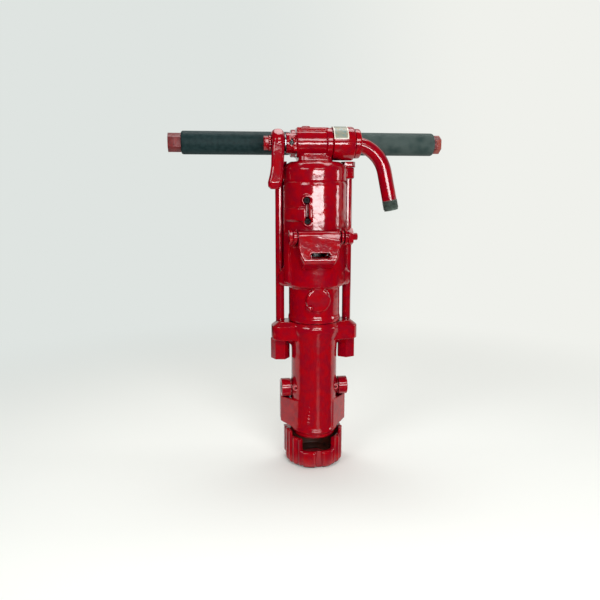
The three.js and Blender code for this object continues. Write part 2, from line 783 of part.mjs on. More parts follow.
/** Exhaust deflector: a knuckle on the bolt, a hood below it and a slot at the front. */
function makeDeflector() {
  const bolt = -exhaust.boltForward;
  const steps = [...Array(7).keys()];
  const crown = steps.map((k) => {
    const angle = Math.PI * (0.5 + k / 12);
    return [bolt + exhaust.knuckle * Math.cos(angle), exhaustZ + exhaust.knuckle * Math.sin(angle)];
  });
  const hood = slab([
    [-exhaust.sideBack, exhaustZ + exhaust.knuckle],
    ...crown,
    [-exhaust.lipForward, exhaustZ - exhaust.faceDrop],
    [-exhaust.lipForward + exhaust.wall / 2, exhaustZ - exhaust.lipDrop + exhaust.wall],
    [-exhaust.lipForward + 2 * exhaust.wall, exhaustZ - exhaust.lipDrop],
    [-exhaust.sideBack, exhaustZ - exhaust.rootDrop],
  ], -exhaust.leftReach, exhaust.rightReach);
  const barrel = ring(cylinder.radius + fit.gap, neckTopZ - fit.overrun, cylinderTopZ, 0, facets.large);
  const halfSlot = exhaust.slotWidth / 2;
  const slotZ = exhaustZ - exhaust.faceDrop;
  const slot = block(-halfSlot - exhaust.slotShift, halfSlot - exhaust.slotShift,
    -exhaust.lipForward - fit.overrun, -exhaust.sideBack, slotZ - exhaust.slotHeight, slotZ);
  const chamber = block(-exhaust.portWidth / 2, exhaust.portWidth / 2,
    -exhaust.lipForward + 2 * exhaust.wall, -exhaust.sideBack,
    portZ(), portZ() + exhaust.portHeight - exhaust.slotHeight / 2);
  const bore = alongX(ring(exhaust.bolt + fit.slide, -cylinder.radius, cylinder.radius, 0, facets.small),
    bolt, exhaustZ);
  return cut(solidOf(hood), solidOf(barrel), solidOf(slot), solidOf(chamber), solidOf(bore));
}

/** Bolt, washers and nut that clamp the deflector between its lugs. */
function makeDeflectorFixings() {
  const place = (geometry) => alongX(geometry, -exhaust.boltForward, exhaustZ);
  const headAt = -exhaust.leftReach - exhaust.leftLug - 2 * fit.gap;
  const firstAt = exhaust.rightReach + exhaust.rightLug + 2 * fit.gap;
  const secondAt = firstAt + exhaust.washer + fit.gap;
  const nutAt = secondAt + exhaust.washer + fit.gap;
  const end = nutAt + exhaust.nutLength + exhaust.boltEnd;
  const shank = solidOf(place(ring(exhaust.bolt, headAt - exhaust.boltHead / 2, end, 0, facets.small)));
  const head = solidOf(place(prism(hexagon(exhaust.nutRadius), headAt - exhaust.boltHead, headAt)));
  const hole = exhaust.bolt + fit.gap;
  const washer = (from) => place(ring(exhaust.washerRadius, from, from + exhaust.washer, hole,
    facets.small));
  const nut = cut(solidOf(prism(hexagon(exhaust.nutRadius), nutAt, nutAt + exhaust.nutLength)),
    solidOf(ring(hole, nutAt - fit.overrun, nutAt + exhaust.nutLength + fit.overrun, 0, facets.small)));
  piece('deflector_bolt', join(shank, head), paint);
  piece('deflector_washer', washer(firstAt), paint);
  piece('deflector_lock_washer', washer(secondAt), paint);
  piece('deflector_nut', nut.rotate([0, 90, 0]).translate([0, -exhaust.boltForward, exhaustZ]), paint);
}

/** Backhead casting: skirt, shoulder, stem, throttle housing, handle boss and rod lugs. */
function makeBackhead() {
  const skirtTopZ = backheadZ + backhead.skirt;
  const skirt = turned([
    [0, backheadZ],
    [cylinder.radius, backheadZ],
    [cylinder.radius, skirtTopZ],
    [(cylinder.radius + backhead.crown) / 2, skirtTopZ + (2 * backhead.shoulder) / 3],
    [backhead.crown, skirtTopZ + backhead.shoulder],
    [0, skirtTopZ + backhead.shoulder],
  ], facets.large);
  const halfStem = backhead.stemWidth / 2;
  const stem = block(-halfStem, halfStem, -backhead.stemDepth / 2, backhead.stemDepth / 2, skirtTopZ, axisZ);
  const housing = alongX(ring(backhead.housingRadius, -backhead.left, backhead.right, 0, facets.medium), 0,
    axisZ);
  const leftBoss = alongX(ring(backhead.bossRadius, -backhead.left - backhead.bossLeft, 0), 0, axisZ);
  const collar = alongX(ring(backhead.collarRadius, backhead.right - backhead.collar, backhead.right), 0,
    axisZ);
  const saddle = slab(belt([
    [0, axisZ, backhead.housingRadius - fit.run],
    [handle.back, handleZ, handle.bossRadius - fit.run],
    [0, skirtTopZ, fit.overrun],
  ], facets.medium), -halfStem, halfStem);
  const handleBoss = alongX(ring(handle.bossRadius, -handle.bossLeft, handle.bossRight), handle.back,
    handleZ);
  const lugs = sides.map(([, side]) => prism(belt([
    [side * rod.spread, rod.back, backhead.lugRadius],
    [side * backhead.crown, 0, backhead.lugRadius],
  ], facets.small), backheadZ + backhead.lugBottom, rodHeadZ - fit.gap));
  const detent = ring(backhead.detentRadius, axisZ, axisZ + backhead.detentTop - fit.overrun, 0,
    facets.small)
    .translate(-backhead.detentX, 0, 0);
  const body = join(solidOf(skirt), solidOf(stem), solidOf(housing), solidOf(leftBoss), solidOf(collar),
    solidOf(saddle), solidOf(handleBoss), ...lugs.map(solidOf), solidOf(detent));
  const reach = backhead.left + backhead.bossLeft + fit.overrun;
  const plugBore = alongX(ring(backhead.bore, -reach, backhead.right + fit.overrun), 0, axisZ);
  const handleBore = alongX(ring(handle.bolt + fit.slide, -handle.bossLeft - fit.overrun,
    handle.bossRight + fit.overrun),
    handle.back, handleZ);
  const duct = ring(throttle.plugBore, backheadZ - fit.overrun, axisZ, 0, facets.small);
  const recess = ring(backhead.crown - fit.overrun, backheadZ - fit.overrun, backheadZ + backhead.recess);
  const detentBore = ring(detentPin() + fit.gap, axisZ, axisZ + backhead.detentTop, 0, facets.small)
    .translate(-backhead.detentX, 0, 0);
  const capBore = ring(capRadius() + fit.gap, axisZ + backhead.housingRadius,
    axisZ + backhead.detentTop + fit.overrun, 0,
    facets.small).translate(-backhead.detentX, 0, 0);
  const stopBore = solidOf(stopScrew(fit.gap));
  return cut(body, solidOf(plugBore), solidOf(handleBore), solidOf(duct), solidOf(recess),
    solidOf(detentBore), solidOf(capBore), stopBore,
    ...rodBores(rod.radius + fit.slide, backheadZ - fit.overrun, rodHeadZ + fit.overrun),
    ...rodBores(rod.headRadius + fit.slide, rodHeadZ - fit.gap, rodHeadZ + rod.headHeight + fit.overrun));
}

/** Radius of the detent plunger. */
function detentPin() {
  return backhead.detentRadius / 2;
}

/** Radius of the cap screw over the detent. */
function capRadius() {
  return backhead.detentRadius - fit.overrun + fit.run;
}

/** Screw that keeps the throttle plug in, or the hole for it. */
function stopScrew(extra) {
  const radius = detentPin() - fit.run + extra;
  const front = backhead.bossRadius + fit.gap + extra * fit.overrun;
  const low = throttle.plug + fit.run - extra;
  const screw = ring(radius, low, front, 0, facets.tiny);
  return alongFront(screw, -backhead.left - backhead.bossLeft / 2, axisZ);
}

/** Cap screw, spring and plunger of the throttle detent. */
function makeDetent() {
  const x = -backhead.detentX;
  const foot = axisZ + throttle.plug + fit.slide;
  const shoulder = foot + (backhead.housingRadius - throttle.plug) / 2;
  const plungerTop = shoulder;
  const capBottom = axisZ + backhead.housingRadius + fit.gap;
  const top = axisZ + backhead.detentTop;
  const cap = solidOf(ring(capRadius(), capBottom, top, 0, facets.small));
  const socket = solidOf(prism(hexagon(capRadius() / 2), top - fit.overrun / 2, top + fit.overrun));
  piece('detent_cap', cut(cap, socket).translate([x, 0, 0]), paint);
  piece('detent_plunger', ring(detentPin(), foot, plungerTop, 0, facets.tiny).translate(x, 0, 0),
    brightSteel);
  const spring = ring(detentPin() - fit.gap, plungerTop + fit.gap, capBottom - fit.gap, detentPin() / 2,
    facets.tiny);
  piece('detent_spring', spring.translate(x, 0, 0), darkSteel);
}

/** Plug valve of the throttle, with its port and the spindle that carries the lever. */
function makeThrottleValve() {
  const shoulder = -throttle.hubRight + fit.gap;
  const washerAt = throttle.hubLeft + fit.gap;
  const end = -washerAt - throttle.washer - fit.gap - throttle.nutLength;
  const body = alongX(turned([
    [0, shoulder],
    [throttle.plug, shoulder],
    [throttle.plug, throttle.plugReach],
    [0, throttle.plugReach],
  ]), 0, axisZ);
  const spindle = alongX(ring(throttle.spindle, end, shoulder + fit.overrun, 0, facets.small), 0, axisZ);
  const mouth = alongX(ring(throttle.plugBore, -throttle.plugBore, throttle.plugReach + fit.overrun, 0,
    facets.small), 0, axisZ);
  const port = ring(throttle.plugBore, -throttle.plug - fit.overrun, 0, 0, facets.small)
    .rotateX(throttle.swingAngle)
    .translate(0, 0, axisZ);
  return cut(join(solidOf(body), solidOf(spindle)), solidOf(mouth), solidOf(port));
}

/** Throttle lever: a round hub and an arm that hangs down in front of the left side rod. */
function makeLever() {
  const round = throttle.hubRadius / 5;
  const [left, right] = [-throttle.hubLeft, -throttle.hubRight];
  const hub = alongX(turned([
    [0, left],
    [throttle.hubRadius - round, left],
    [throttle.hubRadius, left + round],
    [throttle.hubRadius, right - round],
    [throttle.hubRadius - round, right],
    [0, right],
  ]), 0, axisZ);
  const middle = (left + right) / 2;
  const narrow = throttle.armNeck / 2;
  const wide = throttle.armWidth / 2;
  const thick = throttle.armThick / 2;
  const arm = loft(armShares.map(([dropShare, shiftShare, forwardShare, widthShare, thickShare]) => oval(
    middle - throttle.armShift * shiftShare,
    -throttle.armForward * forwardShare,
    axisZ - throttle.drop * dropShare,
    narrow + (wide - narrow) * widthShare,
    thick * thickShare,
  )));
  const hole = alongX(ring(throttle.spindle + fit.gap, left - fit.overrun, right + fit.overrun, 0,
    facets.small), 0, axisZ);
  return cut(join(solidOf(hub), solidOf(arm)), solidOf(hole));
}

/** Toothed washer and nut on the lever's spindle. */
function makeLeverFixings(group) {
  const washerEnd = -throttle.hubLeft - fit.gap;
  const hole = throttle.spindle + fit.gap;
  const teeth = facets.tiny;
  const depth = throttle.washerRadius / facets.tiny;
  const washer = loft([
    lobed(throttle.washerRadius - depth, depth, teeth, washerEnd - throttle.washer, 0, 4 * teeth),
    lobed(throttle.washerRadius - depth, depth, teeth, washerEnd, 0, 4 * teeth),
  ]);
  const bore = ring(hole, washerEnd - throttle.washer - fit.overrun, washerEnd + fit.overrun, 0,
    facets.small);
  const nutEnd = washerEnd - throttle.washer - fit.gap;
  const nut = prism(hexagon(throttle.nutRadius), nutEnd - throttle.nutLength, nutEnd);
  const nutBore = ring(hole, nutEnd - throttle.nutLength - fit.overrun, nutEnd + fit.overrun, 0,
    facets.small);
  const lay = (solid) => solid.rotate([0, 90, 0]).translate([0, 0, axisZ]);
  piece('lever_lock_washer', lay(cut(solidOf(washer), solidOf(bore))), paint, group);
  piece('lever_nut', lay(cut(solidOf(nut), solidOf(nutBore))), paint, group);
}

/** Where the parts of the air inlet lie along X. */
function inletPlaces() {
  const body = backhead.right + fit.gap;
  const bodyEnd = body + inlet.bodyLength;
  const nut = bodyEnd + fit.gap;
  const seal = bodyEnd - inlet.sealLength - fit.gap;
  const flange = seal - fit.gap - inlet.flangeLength;
  return { body, bodyEnd, nut, seal, flange };
}

/** Swivel body, gland nut, seal and strainer of the air inlet. */
function makeInletParts() {
  const { body, bodyEnd, nut, seal, flange } = inletPlaces();
  const chamfer = fit.overrun;
  const shell = turned([
    [backhead.bore, body],
    [inlet.bodyRadius, body],
    [inlet.bodyRadius, bodyEnd - chamfer],
    [inlet.bodyRadius - chamfer, bodyEnd],
    [inlet.flangeRadius + fit.slide, bodyEnd],
    [inlet.flangeRadius + fit.slide, flange - fit.gap],
    [backhead.bore, flange - fit.gap],
  ]);
  piece('inlet_body', alongX(shell, 0, axisZ), paint);
  const gland = inlet.tube + fit.overrun;
  const nutShell = turned([
    [gland, nut],
    [inlet.nutRadius, nut],
    [inlet.nutRadius, nut + inlet.nutLength - chamfer],
    [inlet.nutRadius - chamfer, nut + inlet.nutLength],
    [gland, nut + inlet.nutLength],
  ]);
  piece('inlet_nut', alongX(nutShell, 0, axisZ), paint);
  piece('inlet_seal', alongX(ring(inlet.flangeRadius, seal, seal + inlet.sealLength, inlet.tube + fit.run),
    0, axisZ), rubber);
  const end = flange - 2 * fit.gap;
  const strainer = turned([
    [inlet.strainerRadius - inlet.strainerWall, end],
    [backhead.bore - fit.gap, end],
    [backhead.bore - fit.gap, end - inlet.strainerWall],
    [inlet.strainerRadius, end - inlet.strainerWall],
    [inlet.strainerRadius, end - inlet.strainerLength],
    [0, end - inlet.strainerLength],
    [0, end - inlet.strainerLength + inlet.strainerWall],
    [inlet.strainerRadius - inlet.strainerWall, end - inlet.strainerLength + inlet.strainerWall],
  ], facets.small);
  piece('air_strainer', alongX(strainer, 0, axisZ), darkSteel);
}

/** Gooseneck: a flange, a bent pipe with a through bore and a threaded end. */
function makeGooseneck() {
  const { seal, flange } = inletPlaces();
  const bendX = seal + inlet.sealLength / 2;
  const onBend = (angle) => new THREE.Vector3(
    bendX + inlet.bendRadius * Math.sin(angle), 0, axisZ - inlet.bendRadius * (1 - Math.cos(angle)));
  const bend = [...Array(9).keys()].map((k) => onBend((inlet.bendAngle * k) / 8));
  const down = new THREE.Vector3(Math.cos(inlet.bendAngle), 0, -Math.sin(inlet.bendAngle));
  const along = (length) => onBend(inlet.bendAngle).addScaledVector(down, length);
  const extrude = (radius, path, steps) => {
    const corners = lobed(radius, 0, 1, 0, 0, facets.small).map(([x, y]) => new THREE.Vector2(x, y));
    const settings = { steps, extrudePath: path, bevelEnabled: false };
    return solidOf(new THREE.ExtrudeGeometry(new THREE.Shape(corners), settings));
  };
  const pipe = (radius, startX, length) => {
    const path = new THREE.CurvePath();
    path.add(new THREE.LineCurve3(new THREE.Vector3(startX, 0, axisZ), bend[0]));
    path.add(new THREE.CatmullRomCurve3(bend));
    path.add(new THREE.LineCurve3(bend[bend.length - 1], along(length)));
    return extrude(radius, path, inlet.stepCount);
  };
  const outer = pipe(inlet.tube, flange + fit.slide, inlet.straight);
  const bore = pipe(inlet.tubeBore, flange - fit.overrun, inlet.straight + fit.overrun);
  const threadPath = new THREE.LineCurve3(along(inlet.straight - inlet.thread), along(inlet.straight));
  const thread = extrude(inlet.threadRadius, threadPath, 1);
  const collar = solidOf(alongX(ring(inlet.flangeRadius, flange, flange + inlet.flangeLength), 0, axisZ));
  return cut(join(outer, thread, collar), bore);
}

/** Handle bar: through bolt, nut, two steel tubes and two rubber grips. */
function makeHandle() {
  const lay = (geometry) => alongX(geometry, handle.back, handleZ);
  const left = handle.shift - handle.half;
  const right = handle.shift + handle.half;
  const nutEnd = left - fit.gap - handle.nutLength;
  const headEnd = right + fit.gap + handle.headLength;
  const cone = handle.headRadius - handle.headRadius * Math.cos(Math.PI / 6);
  const hexEnd = (radius, from, to) => {
    const hex = solidOf(prism(hexagon(radius), Math.min(from, to), Math.max(from, to)));
    const inward = Math.sign(from - to);
    const bevel = turned([
      [0, from],
      [radius + fit.slide, from],
      [radius + fit.slide, to + inward * cone],
      [radius - cone - fit.slide, to],
      [0, to],
    ]).rotateZ(Math.PI / facets.medium / 2);
    return hex.intersect(solidOf(bevel));
  };
  const lift = (solid) => solid.rotate([0, 90, 0]).translate([0, handle.back, handleZ]);
  const head = lift(hexEnd(handle.headRadius, headEnd - handle.headLength, headEnd));
  const shank = solidOf(lay(ring(handle.bolt, nutEnd + handle.recess, headEnd - handle.headLength / 2, 0,
    facets.small)));
  piece('handle_bolt', join(head, shank), paint);
  const nutBody = hexEnd(handle.nutRadius, left - fit.gap, nutEnd);
  const nutBore = solidOf(ring(handle.bolt + fit.gap, nutEnd - fit.overrun, left + fit.overrun, 0,
    facets.small));
  piece('handle_nut', lift(cut(nutBody, nutBore)), paint);
  const spans = { left: [left, -handle.bossLeft - fit.gap], right: [handle.bossRight + fit.gap, right] };
  for (const [name, [from, to]] of Object.entries(spans)) {
    piece(`handle_tube_${name}`, lay(ring(handle.tube, from, to, handle.bolt + fit.slide, facets.small)),
      darkSteel);
    const bore = handle.tube + fit.gap;
    const grip = turned([
      [bore, from],
      [handle.grip - handle.gripRound, from],
      [handle.grip, from + handle.gripRound],
      [handle.grip, to - handle.gripRound],
      [handle.grip - handle.gripRound, to],
      [bore, to],
    ]);
    piece(`grip_${name}`, lay(grip), rubber);
  }
}

/** Side rods with their upper heads, and the long nuts under the fronthead's lugs. */
function makeRods() {
  const nutTop = lugZ - fit.gap;
  const nutBottom = nutTop - rod.nutLength;
  const chamfer = rod.nutRadius - rod.nutRadius * Math.cos(Math.PI / 6);
  for (const [name, side] of sides) {
    const shaft = turned([
      [0, nutBottom + rod.nutRecess],
      [rod.radius, nutBottom + rod.nutRecess],
      [rod.radius, rodHeadZ],
      [rod.headRadius, rodHeadZ],
      [rod.headRadius, rodHeadZ + rod.headHeight],
      [0, rodHeadZ + rod.headHeight],
    ], facets.small);
    piece(`side_rod_${name}`, shaft.translate(side * rod.spread, rod.back, 0), paint);
    const hex = solidOf(prism(hexagon(rod.nutRadius, 0), nutBottom, nutTop));
    const bevel = solidOf(turned([
      [0, nutBottom],
      [rod.nutRadius - chamfer, nutBottom],
      [rod.nutRadius + fit.slide, nutBottom + chamfer],
      [rod.nutRadius + fit.slide, nutTop],
      [0, nutTop],
    ], facets.small));
    const bore = solidOf(ring(rod.radius + fit.gap, nutBottom - fit.overrun, nutTop + fit.overrun, 0,
      facets.small));
    piece(`side_rod_nut_${name}`, cut(hex.intersect(bevel),
      bore).translate([side * rod.spread, rod.back, 0]), paint);
  }
}

/** Chuck with its hex insert, and the splined nut that the piston turns it by. */
function makeChuck(group) {
  const flangeZ = chuckTopZ - chuck.flange;
  const insertTopZ = chuckZ + chuck.insertLength;
  const shell = turned([
    [chuck.insertRadius + fit.gap, chuckZ],
    [chuckRadius, chuckZ],
    [chuckRadius, flangeZ],
    [fronthead.bore - fit.slide, flangeZ],
    [fronthead.bore - fit.slide, chuckTopZ],
    [piston.stem + fit.run, chuckTopZ],
    [piston.stem + fit.run, insertTopZ + fit.gap],
    [chuck.insertRadius + fit.gap, insertTopZ + fit.gap],
  ], facets.large);
  piece('chuck', shell, darkSteel, group);
  const insert = cut(solidOf(ring(chuck.insertRadius, chuckZ, insertTopZ)),
    solidOf(prism(hexagon(chuck.hexRadius), chuckZ - fit.overrun, insertTopZ + fit.overrun)));
  piece('chuck_insert', insert, brightSteel, group);
  const nutZ = chuckTopZ + fit.gap;
  const nutTopZ = sleeveZ - fit.slide;
  const splines = (z) => lobed(piston.stem - chuck.splineDepth + fit.slide, chuck.splineDepth,
    chuck.splineCount, z);
  const nut = cut(solidOf(ring(fronthead.bore - fit.slide, nutZ, nutTopZ)),
    solidOf(loft([splines(nutZ - fit.overrun), splines(nutTopZ + fit.overrun)])));
  piece('chuck_nut', nut, darkSteel, group);
}

/** Piston hammer with a fluted stem, and the rifle nut in its head. */
function makePiston(group) {
  const splines = (z, extra = 0) => lobed(piston.stem - chuck.splineDepth - extra, chuck.splineDepth,
    chuck.splineCount, z);
  const flutedTop = sleeveZ + fit.gap;
  const stem = loft([
    splines(strikeZ, chuck.splineDepth / 2),
    splines(strikeZ + chuck.splineDepth),
    splines(flutedTop),
  ]);
  const upper = ring(piston.stem, flutedTop - fit.gap, headZ + fit.overrun);
  const head = turned([[0, headZ], [piston.head, headZ], [piston.head, headTopZ], [0, headTopZ]],
    facets.large);
  const nutZ = headTopZ - rifleNut.length;
  const nutRadius = rifle.radius + rifle.lobeDepth + rifleNut.wall;
  const bore = turned([
    [0, headTopZ - piston.boreDepth],
    [piston.boreRadius, headTopZ - piston.boreDepth],
    [piston.boreRadius, nutZ - fit.gap],
    [nutRadius + fit.gap, nutZ - fit.gap],
    [nutRadius + fit.gap, headTopZ + fit.overrun],
    [0, headTopZ + fit.overrun],
  ]);
  piece('piston_hammer', cut(join(solidOf(stem), solidOf(upper), solidOf(head)), solidOf(bore)),
    brightSteel, group);
  const body = solidOf(ring(nutRadius, nutZ, headTopZ));
  const thread = solidOf(rifleLobes(nutZ - fit.overrun, headTopZ + fit.overrun, fit.slide));
  piece('rifle_nut', cut(body, thread), bronze, group);
}

/** Helical lobes between two levels, on one lead for the bar and the nut. */
function rifleLobes(low, high, extra) {
  const slices = Math.max(2, Math.round((rifle.sliceCount * (high - low)) / (ringZ - headZ)) + 1);
  const levels = [...Array(slices).keys()].map((k) => low + ((high - low) * k) / (slices - 1));
  return loft(levels.map((z) => lobed(rifle.radius + extra, rifle.lobeDepth, rifle.lobeCount, z,
    (2 * Math.PI * z) / rifle.leadLength)));
}

/** A pawl's outline at one of its four places, grown by a clearance, over the turns of its tip. */
function pawlOutline(place, grow, turns) {
  const start = (2 * Math.PI * place) / pawl.count;
  const at = (reach, angle) => [reach * Math.cos(angle + start), reach * Math.sin(angle + start)];
  const [rootX, rootY] = at(pawl.rootReach, pawl.rootAngle);
  const [tipX, tipY] = at(pawl.tipReach, pawl.tipAngle);
  const [acrossX, acrossY] = [tipX - rootX, tipY - rootY];
  const ends = turns.map((turn) => [
    rootX + acrossX * Math.cos(turn) + acrossY * Math.sin(turn),
    rootY + acrossY * Math.cos(turn) - acrossX * Math.sin(turn),
    pawl.tipRadius + grow,
  ]);
  return belt([[rootX, rootY, pawl.rootRadius + grow], ...ends], facets.small);
}

/** Rifle bar, ratchet ring and the four pawls between them. */
function makeRotation() {
  const low = headTopZ - rifle.reach;
  const headLow = ringZ + fit.gap;
  const headHigh = ringZ + ratchet.thickness - fit.gap;
  const lobes = solidOf(rifleLobes(low, boreTopZ, 0));
  const neck = solidOf(ring(rifle.radius - rifle.lobeDepth, boreTopZ - fit.gap, headLow + fit.gap));
  const disc = solidOf(ring(rifle.head, headLow, headHigh));
  const places = [...Array(pawl.count).keys()];
  const pockets = places.map((k) =>
    solidOf(prism(pawlOutline(k, fit.slide, [0, pawl.rockAngle]), headLow - fit.overrun,
    headHigh + fit.overrun)));
  piece('rifle_bar', cut(join(lobes, neck, disc), ...pockets), brightSteel);
  const toothed = [...Array(ratchet.teeth).keys()].flatMap((k) => {
    const pitch = (2 * Math.PI) / ratchet.teeth;
    const sharp = pitch * ratchet.faceShare;
    return [[k * pitch + sharp, ratchet.valley], [(k + 1) * pitch - sharp, ratchet.crest]];
  }).map(([angle, reach]) => [reach * Math.cos(angle), reach * Math.sin(angle)]);
  const ringTop = ringZ + ratchet.thickness;
  const outer = solidOf(ring(ratchet.radius, ringZ, ringTop));
  piece('ratchet_ring', cut(outer, solidOf(prism(toothed, ringZ - fit.overrun, ringTop + fit.overrun))),
    darkSteel);
  for (const k of places) {
    piece(`pawl_${k + 1}`, prism(pawlOutline(k, 0, [0]), headLow, headHigh), brightSteel);
  }
}

/** Valve chest over the piston, with a ring-shaped distributing valve in it. */
function makeChest() {
  const low = boreTopZ + fit.gap;
  const cavityTop = chestTopZ - chest.thickness / 4;
  const cavityLow = cavityTop - chest.valveHeight - chest.valveTravel - fit.slide;
  const body = solidOf(ring(cylinder.counterbore - fit.gap, low, chestTopZ, chest.bore));
  const cavity = solidOf(ring(chest.valveOuter + fit.slide, cavityLow, cavityTop,
    chest.valveInner - fit.slide));
  const ports = [0, 1, 2, 3].map((k) => {
    const angle = (Math.PI * k) / 2;
    const reach = (chest.valveOuter + chest.valveInner) / 2;
    const bore = ring(fit.overrun, low - fit.overrun, chestTopZ + fit.overrun, 0, facets.tiny);
    return solidOf(bore.translate(reach * Math.cos(angle), reach * Math.sin(angle), 0));
  });
  piece('valve_chest', cut(body, cavity, ...ports), darkSteel);
  const valveLow = cavityLow + fit.gap;
  piece('distributing_valve', ring(chest.valveOuter, valveLow, valveLow + chest.valveHeight,
    chest.valveInner), brightSteel);
}

/** The sleeves that the chuck and the piston stem run in. */
function makeSleeves() {
  const top = chuckTopZ - chuck.flange - fit.gap;
  piece('chuck_sleeve', ring(fronthead.bore - fit.gap, seatZ + fit.gap, top, bushBore, facets.large),
    bronze);
  piece('stem_sleeve', ring(stemSleeve.radius, sleeveZ + fit.gap, frontTopZ, piston.stem + fit.slide),
    bronze);
}

/** Hinge bolts, washers and lock screws of the retainer. */
function makeHinges() {
  for (const [name, side] of sides) {
    piece(`retainer_bolt_${name}`, makeHingeBolt(side), darkSteel);
    const from = retainer.eyeInset - hinge.washer - fit.gap;
    const span = [side * from, side * (from + hinge.washer)].sort((a, b) => a - b);
    const washer = ring(retainer.eyeRadius - fit.run, span[0], span[1], hinge.shank + fit.gap, facets.small);
    piece(`retainer_washer_${name}`, alongX(washer, 0, pivotZ), darkSteel);
    piece(`hinge_lock_screw_${name}`, lockScrew(side, 0), paint);
  }
}

piece('fronthead', makeFronthead(), paint);
piece('cylinder', makeCylinder(), paint);
piece('backhead', makeBackhead(), paint);
makeSleeves();
makeRods();
makeChest();
makeRotation();
piece('exhaust_deflector', makeDeflector(), paint);
makeDeflectorFixings();
const plugNames = ['oil_plug', 'air_plug'];
plugPlaces().forEach((place, k) => piece(plugNames[k], makePlug(place), darkSteel));
piece('lubricator_nipple', makeNipple(), darkSteel);
makeInletParts();
makeHandle();
piece('throttle_stop_screw', stopScrew(0), darkSteel);
makeDetent();
makeHinges();
const throttleGroup = new THREE.Group();
piece('throttle_valve', makeThrottleValve(), brightSteel, throttleGroup);
piece('throttle_lever', makeLever(), paint, throttleGroup);
makeLeverFixings(throttleGroup);
const chuckGroup = new THREE.Group();
makeChuck(chuckGroup);
const pistonGroup = new THREE.Group();
makePiston(pistonGroup);
chuckGroup.add(pistonGroup);
drill.add(throttleGroup, chuckGroup);
piece('gooseneck', makeGooseneck(), paint);
piece('retainer', makeRetainer(), paint);

export default drill;
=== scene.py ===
import logging
import math
from dataclasses import dataclass
from enum import Enum
from typing import Iterable, Sequence

import bmesh
import bpy
from mathutils import Matrix, Vector


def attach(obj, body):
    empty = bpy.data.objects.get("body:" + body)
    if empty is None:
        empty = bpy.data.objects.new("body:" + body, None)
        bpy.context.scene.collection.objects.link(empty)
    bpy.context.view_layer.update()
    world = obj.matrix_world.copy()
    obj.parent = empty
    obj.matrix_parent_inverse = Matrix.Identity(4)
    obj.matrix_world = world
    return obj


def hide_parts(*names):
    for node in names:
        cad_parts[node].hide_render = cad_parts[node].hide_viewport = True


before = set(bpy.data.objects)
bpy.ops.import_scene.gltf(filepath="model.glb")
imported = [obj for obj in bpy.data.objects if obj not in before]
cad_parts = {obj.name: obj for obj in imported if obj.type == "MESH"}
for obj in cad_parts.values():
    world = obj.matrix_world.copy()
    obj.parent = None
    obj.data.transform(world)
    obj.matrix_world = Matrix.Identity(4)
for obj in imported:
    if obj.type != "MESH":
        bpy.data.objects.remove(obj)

Point = tuple[float, float, float]
Pair = tuple[float, float]
Circle = tuple[float, float, float, float]
Lamp = tuple[str, Point, Point, Pair, float]
Socket = bpy.types.NodeSocket
Sockets = bpy.types.bpy_prop_collection
log = logging.getLogger("rock_drill")
MILLIMETRE = 0.001
ORIGIN: Point = (0, 0, 0)
BEVELLED_ANGLE = math.radians(25)
CHAMFER_SLOPE = 1.6
CAST_LUMPS = 0.3
LUMP_SPACING = 9.0
BARREL_SIDES = 96
ROUND_SIDES = 48
SMALL_SIDES = 32
FINE_SIDES = 24
BUMP_DEPTH = 0.0012
MOTTLE_BAND: Pair = (0.32, 0.68)
GLOSS_SPREAD: Pair = (0.85, 1.2)
WEAR_AND_HIGHLIGHT_SPREAD: Pair = (-0.05, 0.05)
WEAR_AND_HIGHLIGHT_WIDTH = 0.03
# Occlusion levels that give full and no painted shade in crevices.
PAINTED_SHADE_BAND: Pair = (0.75, 0.2)
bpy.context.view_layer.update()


class Lie(Enum):
    """Which way a shape that is made standing up is laid."""

    UP = Matrix.Identity(4)
    ACROSS = Matrix(((0, 0, 1, 0), (0, 1, 0, 0), (-1, 0, 0, 0), (0, 0, 0, 1)))
    FRONT = Matrix(((1, 0, 0, 0), (0, 0, -1, 0), (0, 1, 0, 0), (0, 0, 0, 1)))


class Body(Enum):
    """Moving bodies of the drill that pieces ride on."""

    MACHINE = "machine"
    THROTTLE = "throttle"
    AIR_INLET = "air_inlet"
    RETAINER = "retainer"


class Slot(Enum):
    """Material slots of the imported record."""

    ENAMEL = "red_enamel"
    HANDLE_END = "handle_end_paint"
    GRIP = "grip_rubber"
    SEAL = "seal_rubber"
    DARK_STEEL = "dark_steel"
    BRIGHT_STEEL = "bright_steel"
    BRONZE = "bronze"


class Side(Enum):
    """The two sides of the drill, as the sign of X."""

    LEFT = -1
    RIGHT = 1

    @property
    def word(self) -> str:
        """Name of the side in lower case."""
        return self.name.lower()


SIDES = (Side.LEFT, Side.RIGHT)


def round_front(radius: float, angle: float) -> Pair:
    """A point round the drill's axis.

    Args:
        radius: distance from the axis.
        angle: angle from the front, to the right.

    Returns:
        Its X and Y.
    """
    return radius * math.sin(angle), -radius * math.cos(angle)


def placed(name: str, data: bpy.types.ID) -> bpy.types.Object:
    """Puts a mesh, a lamp or a camera into the scene.

    Args:
        name: name of its object.
        data: the mesh, lamp or camera.

    Returns:
        The object.
    """
    made = bpy.data.objects.new(name, data)
    bpy.context.scene.collection.objects.link(made)
    return made


